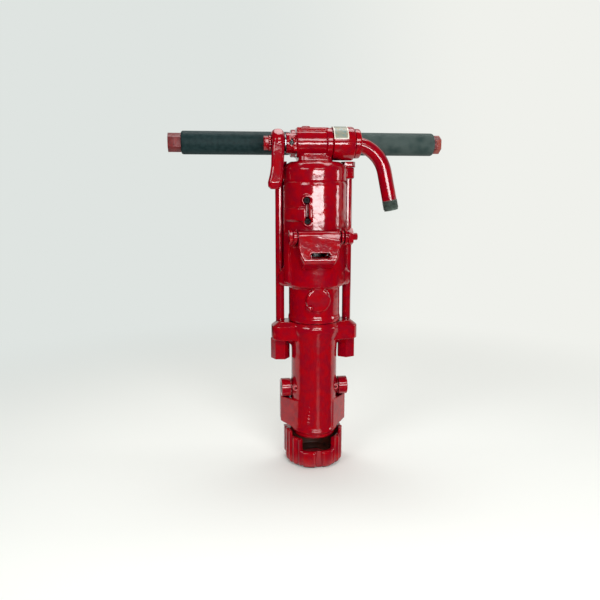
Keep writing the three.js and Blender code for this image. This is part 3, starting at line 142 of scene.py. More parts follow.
class Stock:
    """Closed shapes in millimetres that are worked by mesh operators.

    Several closed shapes may overlap in one stock; casting them joins them.
    """

    def __init__(self) -> None:
        """Starts empty."""
        self.mesh = bmesh.new()

    def add(self, part: bmesh.types.BMesh) -> "Stock":
        """Adds a shape as it lies.

        Args:
            part: the shape, which is used up.

        Returns:
            This stock.
        """
        scratch = bpy.data.meshes.new("scratch")
        part.to_mesh(scratch)
        part.free()
        self.mesh.from_mesh(scratch)
        bpy.data.meshes.remove(scratch)
        return self

    def take(self, part: bmesh.types.BMesh, lie: Lie = Lie.UP, at: Point = ORIGIN,
             turn: float = 0.0) -> "Stock":
        """Adds a shape made about Z.

        Args:
            part: the shape, which is used up.
            lie: which way it is laid.
            at: where its own origin goes.
            turn: turn about its own axis before it is laid, in radians.

        Returns:
            This stock.
        """
        matrix = Matrix.Translation(at) @ lie.value @ Matrix.Rotation(turn, 4, "Z")
        bmesh.ops.transform(part, matrix=matrix, verts=part.verts)
        bmesh.ops.recalc_face_normals(part, faces=part.faces)
        return self.add(part)

    @staticmethod
    def soften(part: bmesh.types.BMesh, width: float) -> None:
        """Bevels the sharp edges of a shape.

        Args:
            part: the shape.
            width: width of the bevel, or zero for none.
        """
        if width <= 0:
            return
        sharp = [e for e in part.edges if e.is_manifold and e.calc_face_angle(0) > BEVELLED_ANGLE]
        bmesh.ops.bevel(part, geom=sharp, offset=width, offset_type="OFFSET", segments=2, profile=0.5,
                        affect="EDGES", material=-1, clamp_overlap=True)

    def turned(self, profile: Sequence[Pair], lie: Lie = Lie.UP, at: Point = ORIGIN, count: int = 64,
               bevel: float = 0.0) -> "Stock":
        """Turns a profile of radius and height pairs about its axis.

        Args:
            profile: the pairs in order; a profile that leaves the axis is closed into a ring.
            lie: which way the axis is laid.
            at: where the axis starts.
            count: facets round.
            bevel: width of the bevel on sharp edges.

        Returns:
            This stock.
        """
        part = bmesh.new()
        points = [part.verts.new((radius, 0, height)) for radius, height in profile]
        pairs = list(zip(points, points[1:]))
        if profile[0][0] > 0 and profile[-1][0] > 0:
            pairs.append((points[-1], points[0]))
        edges = [part.edges.new(pair) for pair in pairs]
        bmesh.ops.spin(part, geom=points + edges, cent=ORIGIN, axis=(0, 0, 1), angle=math.tau,
                       steps=count, use_merge=True)
        bmesh.ops.remove_doubles(part, verts=part.verts, dist=1e-4)
        bmesh.ops.recalc_face_normals(part, faces=part.faces)
        self.soften(part, bevel)
        return self.take(part, lie, at)

    def rod(self, radius: float, low: float, high: float, lie: Lie = Lie.UP, at: Point = ORIGIN,
            bore: float = 0.0, count: int = ROUND_SIDES, bevel: float = 0.0) -> "Stock":
        """A round bar, or with a bore a tube, between two heights on its axis.

        Args:
            radius: outer radius.
            low: where it starts.
            high: where it ends.
            lie: which way it is laid.
            at: a point on the axis.
            bore: inner radius, or zero.
            count: facets round.
            bevel: width of the bevel on its edges.

        Returns:
            This stock.
        """
        low, high = min(low, high), max(low, high)
        return self.turned([(bore, low), (radius, low), (radius, high), (bore, high)], lie, at, count, bevel)

    def block(self, low: Point, high: Point) -> "Stock":
        """A box between two corners.

        Args:
            low: lowest corner.
            high: highest corner.

        Returns:
            This stock.
        """
        part = bmesh.new()
        span = Vector(high) - Vector(low)
        bmesh.ops.create_cube(part, size=1, matrix=Matrix.Diagonal((*span, 1)))
        return self.take(part, at=tuple((Vector(low) + Vector(high)) / 2))

    def hull(self, circles: Iterable[Circle], lie: Lie = Lie.UP, count: int = SMALL_SIDES) -> "Stock":
        """The tight skin round flat circles.

        Args:
            circles: x, y, height and radius of each circle, before it is laid.
            lie: which way the heights run.
            count: facets of each circle.

        Returns:
            This stock.
        """
        part = bmesh.new()
        for x, y, z, radius in circles:
            bmesh.ops.create_circle(part, cap_ends=False, segments=count, radius=radius,
                                    matrix=Matrix.Translation((x, y, z)))
        found = bmesh.ops.convex_hull(part, input=part.verts, use_existing_faces=False)
        inner = set(found["geom_interior"]) | set(found["geom_unused"])
        bmesh.ops.delete(part, geom=[v for v in inner if isinstance(v, bmesh.types.BMVert)], context="VERTS")
        bmesh.ops.dissolve_limit(part, angle_limit=math.radians(1), verts=part.verts, edges=part.edges)
        return self.take(part, lie)

    def prism(self, outline: Sequence[Pair], low: float, high: float, lie: Lie = Lie.UP) -> "Stock":
        """A flat outline drawn out to a thickness.

        Args:
            outline: corners of the outline.
            low: where it starts on its axis.
            high: where it ends.
            lie: which way its axis is laid.

        Returns:
            This stock.
        """
        part = bmesh.new()
        face = part.faces.new([part.verts.new((x, y, low)) for x, y in outline])
        drawn = bmesh.ops.extrude_face_region(part, geom=[face])["geom"]
        moved = [v for v in drawn if isinstance(v, bmesh.types.BMVert)]
        bmesh.ops.translate(part, vec=(0, 0, high - low), verts=moved)
        bmesh.ops.recalc_face_normals(part, faces=part.faces)
        return self.take(part, lie)

    def hexagon(self, radius: float, low: float, high: float, lie: Lie = Lie.UP, at: Point = ORIGIN,
                turn: float = 0.0, chamfer: float = 0.0, bevel: float = 0.0) -> "Stock":
        """A hexagonal bar whose top corners are turned off.

        Args:
            radius: radius over the corners.
            low: where it starts.
            high: where it ends, with the chamfer; it may be below the start.
            lie: which way it is laid.
            at: a point on the axis.
            turn: turn about the axis, in radians.
            chamfer: how far the corners are turned off at the end.
            bevel: width of the bevel on its edges.

        Returns:
            This stock.
        """
        part = bmesh.new()
        bmesh.ops.create_cone(part, cap_ends=True, segments=6, radius1=radius, radius2=radius,
                              depth=abs(high - low), matrix=Matrix.Translation((0, 0, (low + high) / 2)))
        sign = 1 if high > low else -1
        for k in range(6 if chamfer > 0 else 0):
            angle = math.tau * k / 6
            way = Vector((math.cos(angle), math.sin(angle), sign * CHAMFER_SLOPE)).normalized()
            level = math.hypot(way.x, way.y)
            corner = Vector((radius * way.x / level, radius * way.y / level, high - sign * chamfer * 0.6))
            geom = part.verts[:] + part.edges[:] + part.faces[:]
            cut = bmesh.ops.bisect_plane(part, geom=geom, plane_co=corner, plane_no=way, clear_outer=True)
            edges = [e for e in cut["geom_cut"] if isinstance(e, bmesh.types.BMEdge)]
            bmesh.ops.holes_fill(part, edges=edges)
        bmesh.ops.recalc_face_normals(part, faces=part.faces)
        self.soften(part, bevel)
        return self.take(part, lie, at, turn)

    def ball(self, radius: float, at: Point, squash: Point = (1, 1, 1)) -> "Stock":
        """A round lump.

        Args:
            radius: its radius.
            at: its middle.
            squash: scale along X, Y and Z.

        Returns:
            This stock.
        """
        part = bmesh.new()
        bmesh.ops.create_icosphere(part, subdivisions=3, radius=radius, matrix=Matrix.Diagonal((*squash, 1)))
        return self.take(part, at=at)

    def object(self, name: str) -> bpy.types.Object:
        """Makes a scene object of the stock and uses it up.

        Args:
            name: the object's name.

        Returns:
            The object, in the stock's own units.
        """
        mesh = bpy.data.meshes.new(name)
        self.mesh.to_mesh(mesh)
        self.mesh.free()
        return placed(name, mesh)

    @staticmethod
    def _cut(made: bpy.types.Object, tool: bpy.types.Object, overlapping: bool) -> None:
        """Takes one scratch object away from another.

        Args:
            made: what is cut.
            tool: the shape of the cut.
            overlapping: whether the shapes of either may overlap each other.
        """
        boolean = made.modifiers.new("cut", "BOOLEAN")
        boolean.operation, boolean.solver, boolean.use_self = "DIFFERENCE", "EXACT", overlapping
        boolean.object = tool

    @staticmethod
    def _worked(*scratch: bpy.types.Object) -> "Stock":
        """Takes up what the modifiers make of an object.

        Args:
            scratch: the object, and others that it used; all of them are removed.

        Returns:
            A new stock.
        """
        graph = bpy.context.evaluated_depsgraph_get()
        result = bpy.data.meshes.new_from_object(scratch[0].evaluated_get(graph))
        shape = Stock()
        shape.mesh.from_mesh(result)
        bpy.data.meshes.remove(result)
        for made in scratch:
            mesh = made.data
            bpy.data.objects.remove(made)
            bpy.data.meshes.remove(mesh)
        return shape

    def bored(self, tool: "Stock") -> "Stock":
        """Cuts a shape out and keeps the edges crisp.

        Args:
            tool: the cut, which is used up.

        Returns:
            A new stock.
        """
        made, cutter = self.object("bored"), tool.object("tool")
        self._cut(made, cutter, overlapping=False)
        return self._worked(made, cutter)

    def cast(self, voxel: float, cuts: "Stock | None" = None, polish: int = 4, lumps: float = 0.0) -> "Stock":
        """Joins overlapping shapes into one skin with soft edges, as sand casting and paint leave them.

        Args:
            voxel: grain of the skin; the edges round off to about twice this.
            cuts: shapes to take away first.
            polish: smoothing passes.
            lumps: height of the broad unevenness.

        Returns:
            A new stock with the cast shape.
        """
        grain = voxel * 1.0
        scratch = [self.object("casting")]
        made = scratch[0]
        if cuts:
            scratch.append(cuts.object("cuts"))
            self._cut(made, scratch[1], overlapping=True)
        remesh = made.modifiers.new("skin", "REMESH")
        remesh.mode, remesh.voxel_size, remesh.use_smooth_shade = "VOXEL", grain, True
        smooth = made.modifiers.new("polish", "SMOOTH")
        smooth.factor, smooth.iterations = 0.5, polish
        if lumps:
            clouds = bpy.data.textures.get("cast_lumps") or bpy.data.textures.new("cast_lumps", "CLOUDS")
            clouds.noise_scale, clouds.noise_depth = LUMP_SPACING, 1
            rough = made.modifiers.new("lumps", "DISPLACE")
            rough.texture, rough.texture_coords = clouds, "LOCAL"
            rough.strength, rough.mid_level = lumps, 0.5
        return self._worked(*scratch)


class Nodes:
    """Adds and links shader nodes in one tree."""

    def __init__(self, tree: bpy.types.NodeTree) -> None:
        """Keeps the tree."""
        self.tree = tree

    def fill(self, node: bpy.types.Node, inputs: dict) -> None:
        """Sets or links a node's inputs.

        Args:
            node: the node.
            inputs: values or sockets, by the input's name or place.
        """
        for name, value in inputs.items():
            if isinstance(value, Socket):
                self.tree.links.new(value, node.inputs[name])
            else:
                node.inputs[name].default_value = value

    def add(self, kind: str, inputs: dict | None = None, **settings) -> bpy.types.Node:
        """Adds a node.

        Args:
            kind: the node's type after ShaderNode.
            inputs: values or sockets for its inputs, by name or place.
            settings: the node's own settings.

        Returns:
            The node.
        """
        node = self.tree.nodes.new("ShaderNode" + kind)
        for name, value in settings.items():
            setattr(node, name, value)
        self.fill(node, inputs or {})
        return node

    def group(self, tree: bpy.types.NodeTree, **values: float) -> Sockets:
        """Adds a shared group.

        Args:
            tree: the group's tree.
            values: values for its inputs, by name.

        Returns:
            The group's outputs.
        """
        return self.add("Group", values, node_tree=tree).outputs

    def maths(self, operation: str, *values: object) -> Socket:
        """Works out one number.

        Args:
            operation: what is done.
            values: numbers or sockets, in order.

        Returns:
            The result's socket.
        """
        return self.add("Math", dict(enumerate(values)), operation=operation).outputs[0]

    def ramp(self, value: Socket, low: float, high: float, first: float = 0.0, last: float = 1.0,
             smooth: bool = True) -> Socket:
        """Stretches a value from one band to another and holds it there.

        Args:
            value: socket to stretch.
            low: value that becomes the first.
            high: value that becomes the last.
            first: what the low value becomes.
            last: what the high value becomes.
            smooth: whether it eases in and out.

        Returns:
            The stretched value's socket.
        """
        bands = {"Value": value, "From Min": low, "From Max": high, "To Min": first, "To Max": last}
        kind = "SMOOTHSTEP" if smooth else "LINEAR"
        return self.add("MapRange", bands, interpolation_type=kind).outputs["Result"]

    def mix(self, share: Socket, first: object, second: object) -> Socket:
        """Mixes two colours.

        Args:
            share: how much of the second.
            first: colour or socket.
            second: colour or socket.

        Returns:
            The mixed colour's socket.
        """
        return self.add("Mix", {0: share, 6: first, 7: second}, data_type="RGBA").outputs[2]


def colour(red: float, green: float, blue: float) -> tuple[float, float, float, float]:
    """Turns screen values from 0 to 255 into a linear colour.

    Args:
        red: red value.
        green: green value.
        blue: blue value.

    Returns:
        The colour with full alpha.
    """
    def linear(value: float) -> float:
        """One channel."""
        share = value / 255
        return share / 12.92 if share <= 0.04045 else ((share + 0.055) / 1.055) ** 2.4

    return linear(red), linear(green), linear(blue), 1.0


class Effects:
    """Shader groups that several finishes share, built once."""

    @staticmethod
    def _group(name: str, inputs: Sequence[tuple[str, float]], outputs: Sequence[str]) -> tuple:
        """Starts a group.

        Args:
            name: the group's name.
            inputs: names and default values of its inputs.
            outputs: names of its outputs.

        Returns:
            The node adder of its tree, the sockets that bring its inputs, and its output node.
        """
        tree = bpy.data.node_groups.new(name, "ShaderNodeTree")
        for socket, value in inputs:
            made = tree.interface.new_socket(socket, in_out="INPUT", socket_type="NodeSocketFloat")
            made.default_value = value
        for socket in outputs:
            tree.interface.new_socket(socket, in_out="OUTPUT", socket_type="NodeSocketFloat")
        return Nodes(tree), tree.nodes.new("NodeGroupInput").outputs, tree.nodes.new("NodeGroupOutput")

    @classmethod
    def skin(cls) -> bpy.types.NodeTree:
        """Unevenness of a cast, painted or moulded surface.

        Returns:
            A group with Coarse and Fine scales and a share of Grain, giving Height and Mottle.
        """
        name = "surface_skin"
        if name in bpy.data.node_groups:
            return bpy.data.node_groups[name]
        nodes, given, sink = cls._group(name, [("Coarse", 60.0), ("Fine", 600.0), ("Grain", 0.3)],
                                        ["Height", "Mottle"])
        place = nodes.add("TexCoord").outputs["Object"]
        broad = nodes.add("TexNoise",
                          {"Vector": place, "Scale": given["Coarse"], "Detail": 2.0}).outputs["Fac"]
        fine = nodes.add("TexNoise", {"Vector": place, "Scale": given["Fine"], "Detail": 3.0}).outputs["Fac"]
        height = nodes.maths("ADD", broad, nodes.maths("MULTIPLY", fine, given["Grain"]))
        nodes.fill(sink, {"Height": height, "Mottle": nodes.ramp(broad, *MOTTLE_BAND)})
        return nodes.tree

    @classmethod
    def wear_and_highlight(cls) -> bpy.types.NodeTree:
        """Mask of outer edges: real wear on most finishes, and a painted rim highlight on the hinge lock
        screws.

        Returns:
            A group with Start and Grain, giving Mask.
        """
        name = "edge_wear"
        if name in bpy.data.node_groups:
            return bpy.data.node_groups[name]
        nodes, given, sink = cls._group(name, [("Start", 0.53), ("Grain", 900.0)], ["Mask"])
        place = nodes.add("TexCoord").outputs["Object"]
        noise = nodes.add("TexNoise",
                          {"Vector": place, "Scale": given["Grain"], "Detail": 4.0}).outputs["Fac"]
        spread = nodes.ramp(noise, 0.0, 1.0, *WEAR_AND_HIGHLIGHT_SPREAD, smooth=False)
        level = nodes.maths("ADD", nodes.add("NewGeometry").outputs["Pointiness"], spread)
        above = nodes.maths("SUBTRACT", level, given["Start"])
        nodes.fill(sink, {"Mask": nodes.ramp(above, 0.0, WEAR_AND_HIGHLIGHT_WIDTH)})
        return nodes.tree

    @classmethod
    def crevice(cls) -> bpy.types.NodeTree:
        """Mask of painted shade in corners and crevices, taken from ambient occlusion.

        Returns:
            A group with Reach, giving Mask.
        """
        name = "crevice_shade"
        if name in bpy.data.node_groups:
            return bpy.data.node_groups[name]
        nodes, given, sink = cls._group(name, [("Reach", 0.008)], ["Mask"])
        shade = nodes.add("AmbientOcclusion", {"Distance": given["Reach"]}, samples=6)
        nodes.fill(sink, {"Mask": nodes.ramp(shade.outputs["AO"], *PAINTED_SHADE_BAND)})
        return nodes.tree


@dataclass(frozen=True)
class Finish:
    """A surface finish: two tones, its gloss and how its surface runs."""

    name: str
    slot: Slot
    tone: Point
    second: Point
    # Colour of the painted shade in corners and crevices.
    deep: Point
    roughness: float
    metallic: float = 0.0
    specular: float = 0.5
    coarse: float = 60.0
    fine: float = 600.0
    grain: float = 0.3
    bump: float = 0.3
    # Where outer edges start to take the edge tone, and that tone: worn bare metal, except on the hinge lock
    # screws, where it is a painted rim highlight.
    wear_and_highlight: float = 0.0
    bare_and_highlight_tone: Point = (150, 150, 150)
    # How far the painted shade in corners and crevices reaches.
    reach: float = 0.008

    def material(self) -> bpy.types.Material:
        """Builds the material once.

        Returns:
            The material.
        """
        if self.name in bpy.data.materials:
            return bpy.data.materials[self.name]
        made = bpy.data.materials.new(self.name)
        made.use_nodes = True
        nodes = Nodes(made.node_tree)
        skin = nodes.group(Effects.skin(), Coarse=self.coarse, Fine=self.fine, Grain=self.grain)
        tones = nodes.mix(skin["Mottle"], colour(*self.tone), colour(*self.second))
        # Mixes in the painted shade tone where the occlusion mask finds corners and crevices: painted shade.
        corners = nodes.group(Effects.crevice(), Reach=self.reach)
        base = nodes.mix(corners["Mask"], tones, colour(*self.deep))
        # Outer edges take the edge tone: real wear, and on the hinge lock screws a pale painted rim
        # highlight.
        if self.wear_and_highlight > 0:
            worn = nodes.group(Effects.wear_and_highlight(), Start=self.wear_and_highlight)
            base = nodes.mix(worn["Mask"], base, colour(*self.bare_and_highlight_tone))
        ends = [self.roughness * share for share in GLOSS_SPREAD]
        gloss = nodes.ramp(skin["Mottle"], 0.0, 1.0, *ends, smooth=False)
        bump = nodes.add("Bump", {"Height": skin["Height"], "Strength": self.bump, "Distance": BUMP_DEPTH})
        nodes.fill(made.node_tree.nodes["Principled BSDF"], {
            "Base Color": base, "Roughness": gloss, "Metallic": self.metallic,
            "Specular IOR Level": self.specular, "Normal": bump.outputs["Normal"],
        })
        return made


ENAMEL = Finish("red_enamel_paint", Slot.ENAMEL, (153, 0, 13), (133, 0, 22), (44, 0, 11), 0.12,
                specular=0.62, coarse=80, fine=380, grain=0.12, bump=0.16)
# Dark brown paint for the faces inside the retainer cup: painted shade in the recess.
CUP_INSIDE_PAINTED_SHADE = Finish("cup_inside_painted_shade", Slot.ENAMEL, (96, 44, 34), (68, 42, 32), (40, 24, 19), 0.36,
                   specular=0.35, coarse=90, fine=420, grain=0.3, bump=0.25, reach=0.012)
# Red enamel with pale pink outer edges: a painted rim highlight for the hinge lock screws.
ENAMEL_PAINTED_RIM_HIGHLIGHT = Finish("red_enamel_painted_rim_highlight", Slot.ENAMEL, (153, 0, 13), (133, 0, 22), (44, 0, 11), 0.2,
                        specular=0.62, coarse=120, fine=700, grain=0.3, bump=0.2, wear_and_highlight=0.54,
                        bare_and_highlight_tone=(188, 92, 96), reach=0.003)
HANDLE_PAINT = Finish("worn_handle_paint", Slot.HANDLE_END, (118, 12, 10), (92, 4, 8), (42, 4, 8), 0.32,
                      specular=0.32, coarse=220, fine=1400, grain=0.5, bump=0.35, wear_and_highlight=0.66,
                      bare_and_highlight_tone=(146, 66, 56))
GRIP_RUBBER = Finish("grip_rubber_dark", Slot.GRIP, (18, 40, 41), (29, 50, 51), (10, 20, 20), 0.48,
                     specular=0.15, coarse=160, fine=1500, grain=0.6, bump=0.4)
# A paler copy of the grip rubber for the right grip: painted light from the right, with broad pale blotches
# for chalk smears.
GRIP_RUBBER_LIT_AND_CHALKED = Finish("grip_rubber_painted_light_and_chalk", Slot.GRIP, (44, 61, 59), (70, 83, 80), (14, 22, 22), 0.5,
                      specular=0.12, coarse=34, fine=1500, grain=0.5, bump=0.35)
SEAL_RUBBER = Finish("seal_rubber_black", Slot.SEAL, (22, 22, 22), (30, 30, 30), (10, 10, 10), 0.6)
DARK_STEEL = Finish("oiled_dark_steel", Slot.DARK_STEEL, (66, 72, 68), (48, 52, 50), (16, 17, 16), 0.42,
                    metallic=0.85, coarse=260, fine=1800, grain=0.5, bump=0.25, wear_and_highlight=0.58)
HOLE_STEEL = Finish("shaded_socket_steel", Slot.DARK_STEEL, (20, 18, 18), (12, 11, 11), (4, 4, 4), 0.55,
                    specular=0.2, coarse=260, fine=1800, grain=0.5, bump=0.25, reach=0.02)
THREAD_STEEL = Finish("phosphated_thread", Slot.DARK_STEEL, (92, 106, 98), (72, 84, 78), (30, 34, 32), 0.45,
                      metallic=0.3, coarse=260, fine=1800, grain=0.5, bump=0.3, wear_and_highlight=0.57,
                      bare_and_highlight_tone=(150, 156, 150))
BRIGHT_STEEL = Finish("ground_bright_steel", Slot.BRIGHT_STEEL, (170, 174, 176), (150, 154, 156),
                      (24, 24, 24), 0.3, metallic=1.0, coarse=300, fine=2400, grain=0.5, bump=0.12,
                      reach=0.03)
BRONZE = Finish("machined_bronze", Slot.BRONZE, (172, 124, 66), (150, 104, 52), (70, 46, 20), 0.34,
                metallic=1.0, coarse=240, fine=2000, grain=0.4, bump=0.12)
LABEL_BORDER = Finish("label_border_pale", Slot.ENAMEL, (226, 222, 208), (214, 208, 192), (150, 140, 120),
                      0.3, coarse=240, bump=0.1)
LABEL_MIDDLE = Finish("label_middle_muted", Slot.ENAMEL, (122, 140, 134), (150, 142, 118), (80, 84, 80), 0.32,
                      coarse=180, bump=0.1)


class Shop:
    """Finishes stocks into pieces of the drill."""

    def __init__(self) -> None:
        """Starts with no pieces."""
        self.pieces: list[str] = []

    def piece(self, stock: Stock, node: str, form: str, finish: Finish = ENAMEL, body: Body = Body.MACHINE,
              sharp: float = 35.0, extra: bool = False) -> bpy.types.Object:
        """Turns a stock into a finished piece on its body.

        Args:
            stock: the shape, in millimetres, which is used up.
            node: the CAD node it stands for; the piece's name starts with it.
            form: the end of the piece's name.
            finish: its surface.
            body: the body it rides on.
            sharp: edges sharper than this many degrees stay crisp.
            extra: whether it is added and stands for no node.

        Returns:
            The piece.
        """
        name, replaced = f"{node}_{form}", [] if extra else [node]
        bmesh.ops.transform(stock.mesh, matrix=Matrix.Scale(MILLIMETRE, 4), verts=stock.mesh.verts)
        made = stock.object(name)
        made.data.shade_smooth()
        made.data.set_sharp_from_angle(angle=math.radians(sharp))
        made.data.materials.append(finish.material())
        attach(made, body.value)
        if replaced:
            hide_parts(*replaced)
        self.pieces.append(name)
        triangles = sum(len(p.vertices) - 2 for p in made.data.polygons)
        log.info("%s on %s: %d triangles", name, body.value, triangles)
        return made

    @staticmethod
    def dress_node(name: str, finish: Finish) -> None:
        """Gives a CAD node that stays its finish.

        Args:
            name: the node's name.
            finish: its surface.
        """
        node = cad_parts[name]
        if not node.material_slots:
            node.data.materials.append(finish.material())
        for slot in node.material_slots:
            slot.material = finish.material()
        log.info("%s keeps its solid, as %s", name, finish.name)


@dataclass
class Assembly:
    """A sub-assembly, whose pieces are finished in a shop."""

    shop: Shop


@dataclass
class SideRods(Assembly):
    """Two long rods beside the cylinder with heads above and long nuts below."""

    radius: float = 7.5
    spread: float = 59.2
    back: float = 8.0
    head_z: float = 521.8
    head_radius: float = 11.0
    head_height: float = 9.5
    nut_low: float = 189.7
    nut_high: float = 226.7
    nut_radius: float = 16.9
    nut_turn: float = 0.42
    recess: float = 3.0
    head_turn: float = 0.4
    voxel: float = 0.55

    def holes(self, stock: Stock, radius: float, low: float, high: float) -> None:
        """Adds round cuts for both rods.

        Args:
            stock: the cuts.
            radius: radius of the holes.
            low: where they start.
            high: where they end.
        """
        for side in SIDES:
            stock.rod(radius, low, high, at=(side.value * self.spread, self.back, 0), count=SMALL_SIDES)

    def build(self) -> None:
        """Builds both rods and nuts."""
        for side in SIDES:
            at = (side.value * self.spread, self.back, 0)
            low, high = self.nut_low + self.recess, self.head_z - 0.1
            shaft = Stock().turned([(0, low), (self.radius - 1, low), (self.radius, low + 1),
                                    (self.radius, high), (0, high)], at=at, count=SMALL_SIDES)
            shaft.hexagon(self.head_radius + 1.5, self.head_z, self.head_z + self.head_height, at=at,
                          turn=self.head_turn, chamfer=2.0, bevel=0.4)
            self.shop.piece(shaft, f"side_rod_{side.word}", "bar")
            turn = self.nut_turn if side is Side.LEFT else -self.nut_turn / 3
            nut = Stock().hexagon(self.nut_radius, self.nut_high, self.nut_low, at=at, turn=turn, chamfer=2.4)
            bore = Stock().rod(self.radius + 0.2, self.nut_low - 3, self.nut_high + 3, at=at, count=40)
            nut = nut.bored(bore).cast(self.voxel, polish=5)
            self.shop.piece(nut, f"side_rod_nut_{side.word}", "long", sharp=60)


@dataclass
class Fronthead(Assembly):
    """Fronthead casting: nose, wings, barrel, hinge bosses and the flange with the rod lugs."""

    rods: SideRods
    rod_slack: float = 0.5
    nose_z: float = 50.0
    radius: float = 40.0
    lug_z: float = 227.0
    top_z: float = 259.5
    flange_radius: float = 47.0
    lug_radius: float = 15.5
    bore: float = 33.5
    lip_bore: float = 24.0
    seat_z: float = 57.0
    sleeve_z: float = 224.5
    sleeve_radius: float = 38.3
    pivot_z: float = 137.0
    boss_radius: float = 15.2
    screw_rise: float = 3.5
    boss_face: float = 40.1
    wing_low: float = 64.0
    wing_top: float = 118.5
    wing_span: float = 59.0
    wing_back: float = 12.0
    bolt_recess: float = 6.8
    recess_span: Pair = (37.2, 59.4)
    beads: int = 5
    bead_radius: float = 2.3
    bead_step: float = 6.4
    screw_x: float = 35.5
    voxel: float = 1.3

    def _wings(self, stock: Stock) -> None:
        """Adds the two flat wings beside the nose, with sloping lower edges.

        Args:
            stock: the forms of the casting.
        """
        for side in SIDES:
            root = [(side.value * 29.6, -24.6, z, 2.2) for z in (self.wing_low, self.wing_top)]
            root += [(side.value * 20, 8, z, 4.0) for z in (self.wing_low, self.wing_top)]
            tip = [(side.value * (self.wing_span - 2), y, z, 2.0) for y in (9.0, 10.0)
                   for z in (self.wing_low + 7, self.wing_top)]
            stock.hull(root + tip, count=FINE_SIDES)

    def build(self) -> None:
        """Builds the casting and its two small screws."""
        r, low, top, lug_z, flange = self.radius, self.nose_z, self.top_z, self.lug_z, self.flange_radius
        pivot = (0, 0, self.pivot_z)
        solid = Stock().turned([
            (0, low), (r - 8, low), (r - 4, low + 1.6), (r - 2.2, low + 4.4), (r - 1.9, low + 7),
            (r - 3, low + 8.6), (r - 1.6, low + 9.4), (r + 1.5, low + 11.4), (r + 2.2, low + 13.4),
            (r + 1.5, low + 16), (r, low + 19), (r, lug_z - 22), (r + 1, lug_z - 8), (r + 3.4, lug_z + 4),
            (flange, top - 17), (flange, top - 9.4), (flange - 0.8, top - 7.4), (flange - 3.6, top - 2.2),
            (flange - 5.0, top - 0.5), (flange - 6.6, top), (0, top),
        ], count=72)
        lug = [(sign * self.rods.spread, y, self.lug_radius) for sign in (-1, 1) for y in (8.0, -8.0)]
        solid.hull([(0, 0, z, 36.0) for z in (lug_z, top - 2)]
                   + [(x, y, z, r) for x, y, r in lug for z in (lug_z, top - 9)]
                   + [(x * 0.9, y * 0.8, top - 0.4, r - 5.5) for x, y, r in lug], count=40)
        for sign in (-1, 1):
            solid.hull([(sign * x, 0, lug_z + rise, radius)
                        for x, rise, radius in ((38, -12, 4), (48, 2, 9), (30, 2, 9))], count=20)
        self._wings(solid)
        solid.rod(self.boss_radius, -self.boss_face, self.boss_face, Lie.ACROSS, pivot)
        for sign in (-1, 1):
            solid.hull([(sign * 36.5, -9, self.pivot_z, 5.2), (sign * 35.5, -4, self.pivot_z + 36, 1.5),
                        (sign * 37.5, 4, self.pivot_z + 10, 4)], count=20)
        bores = [(0, low - 4), (self.lip_bore, low - 4), (self.lip_bore, self.seat_z),
                 (self.bore, self.seat_z)]
        cuts = Stock().turned(bores + [(self.bore, self.sleeve_z), (self.sleeve_radius, self.sleeve_z),
                                       (self.sleeve_radius, top + 4), (0, top + 4)])
        self.rods.holes(cuts, self.rods.radius + self.rod_slack, lug_z - 4, top + 4)
        cuts.block((-70, self.wing_back, low - 2), (70, 60, self.wing_top + 2))
        behind = Stock().turned([(0, low), (r - 9, low), (r - 1.2, low + 5), (r, low + 10),
                                 (r, self.wing_top + 8), (0, self.wing_top + 8)], count=72)
        for sign in (-1, 1):
            near, far = self.recess_span
            cuts.rod(self.bolt_recess, sign * far, sign * near, Lie.ACROSS, pivot, count=SMALL_SIDES)
        for step in range(self.beads):
            solid.ball(self.bead_radius, (-16 + 0.5 * step, -math.sqrt(r ** 2 - 15.5 ** 2) + 0.2,
                                          low + 31 + self.bead_step * step))
        shape = solid.cast(self.voxel, cuts, lumps=CAST_LUMPS)
        end = self.wing_top + 20
        inside = Stock().turned(bores + [(self.bore, end), (0, end)])
        inside.block((-70, -60, low - 4), (70, self.wing_back - 3, end))
        shape.add(behind.cast(self.voxel, inside).mesh)
        self.shop.piece(shape, "fronthead", "casting", sharp=60)
        for side in SIDES:
            screw = Stock().turned([
                (0, 11.5), (5.2, 11.5), (5.2, 20.2), (4.6, 21.6), (3.2, 22.2), (2.1, 21.8), (1.9, 19.4),
                (0, 19.4),
            ], Lie.FRONT, (side.value * self.screw_x, 0, self.pivot_z + self.screw_rise), count=SMALL_SIDES)
            # The screws' pale pink rims are a painted highlight.
            self.shop.piece(screw, f"hinge_lock_screw_{side.word}", "button", ENAMEL_PAINTED_RIM_HIGHLIGHT)


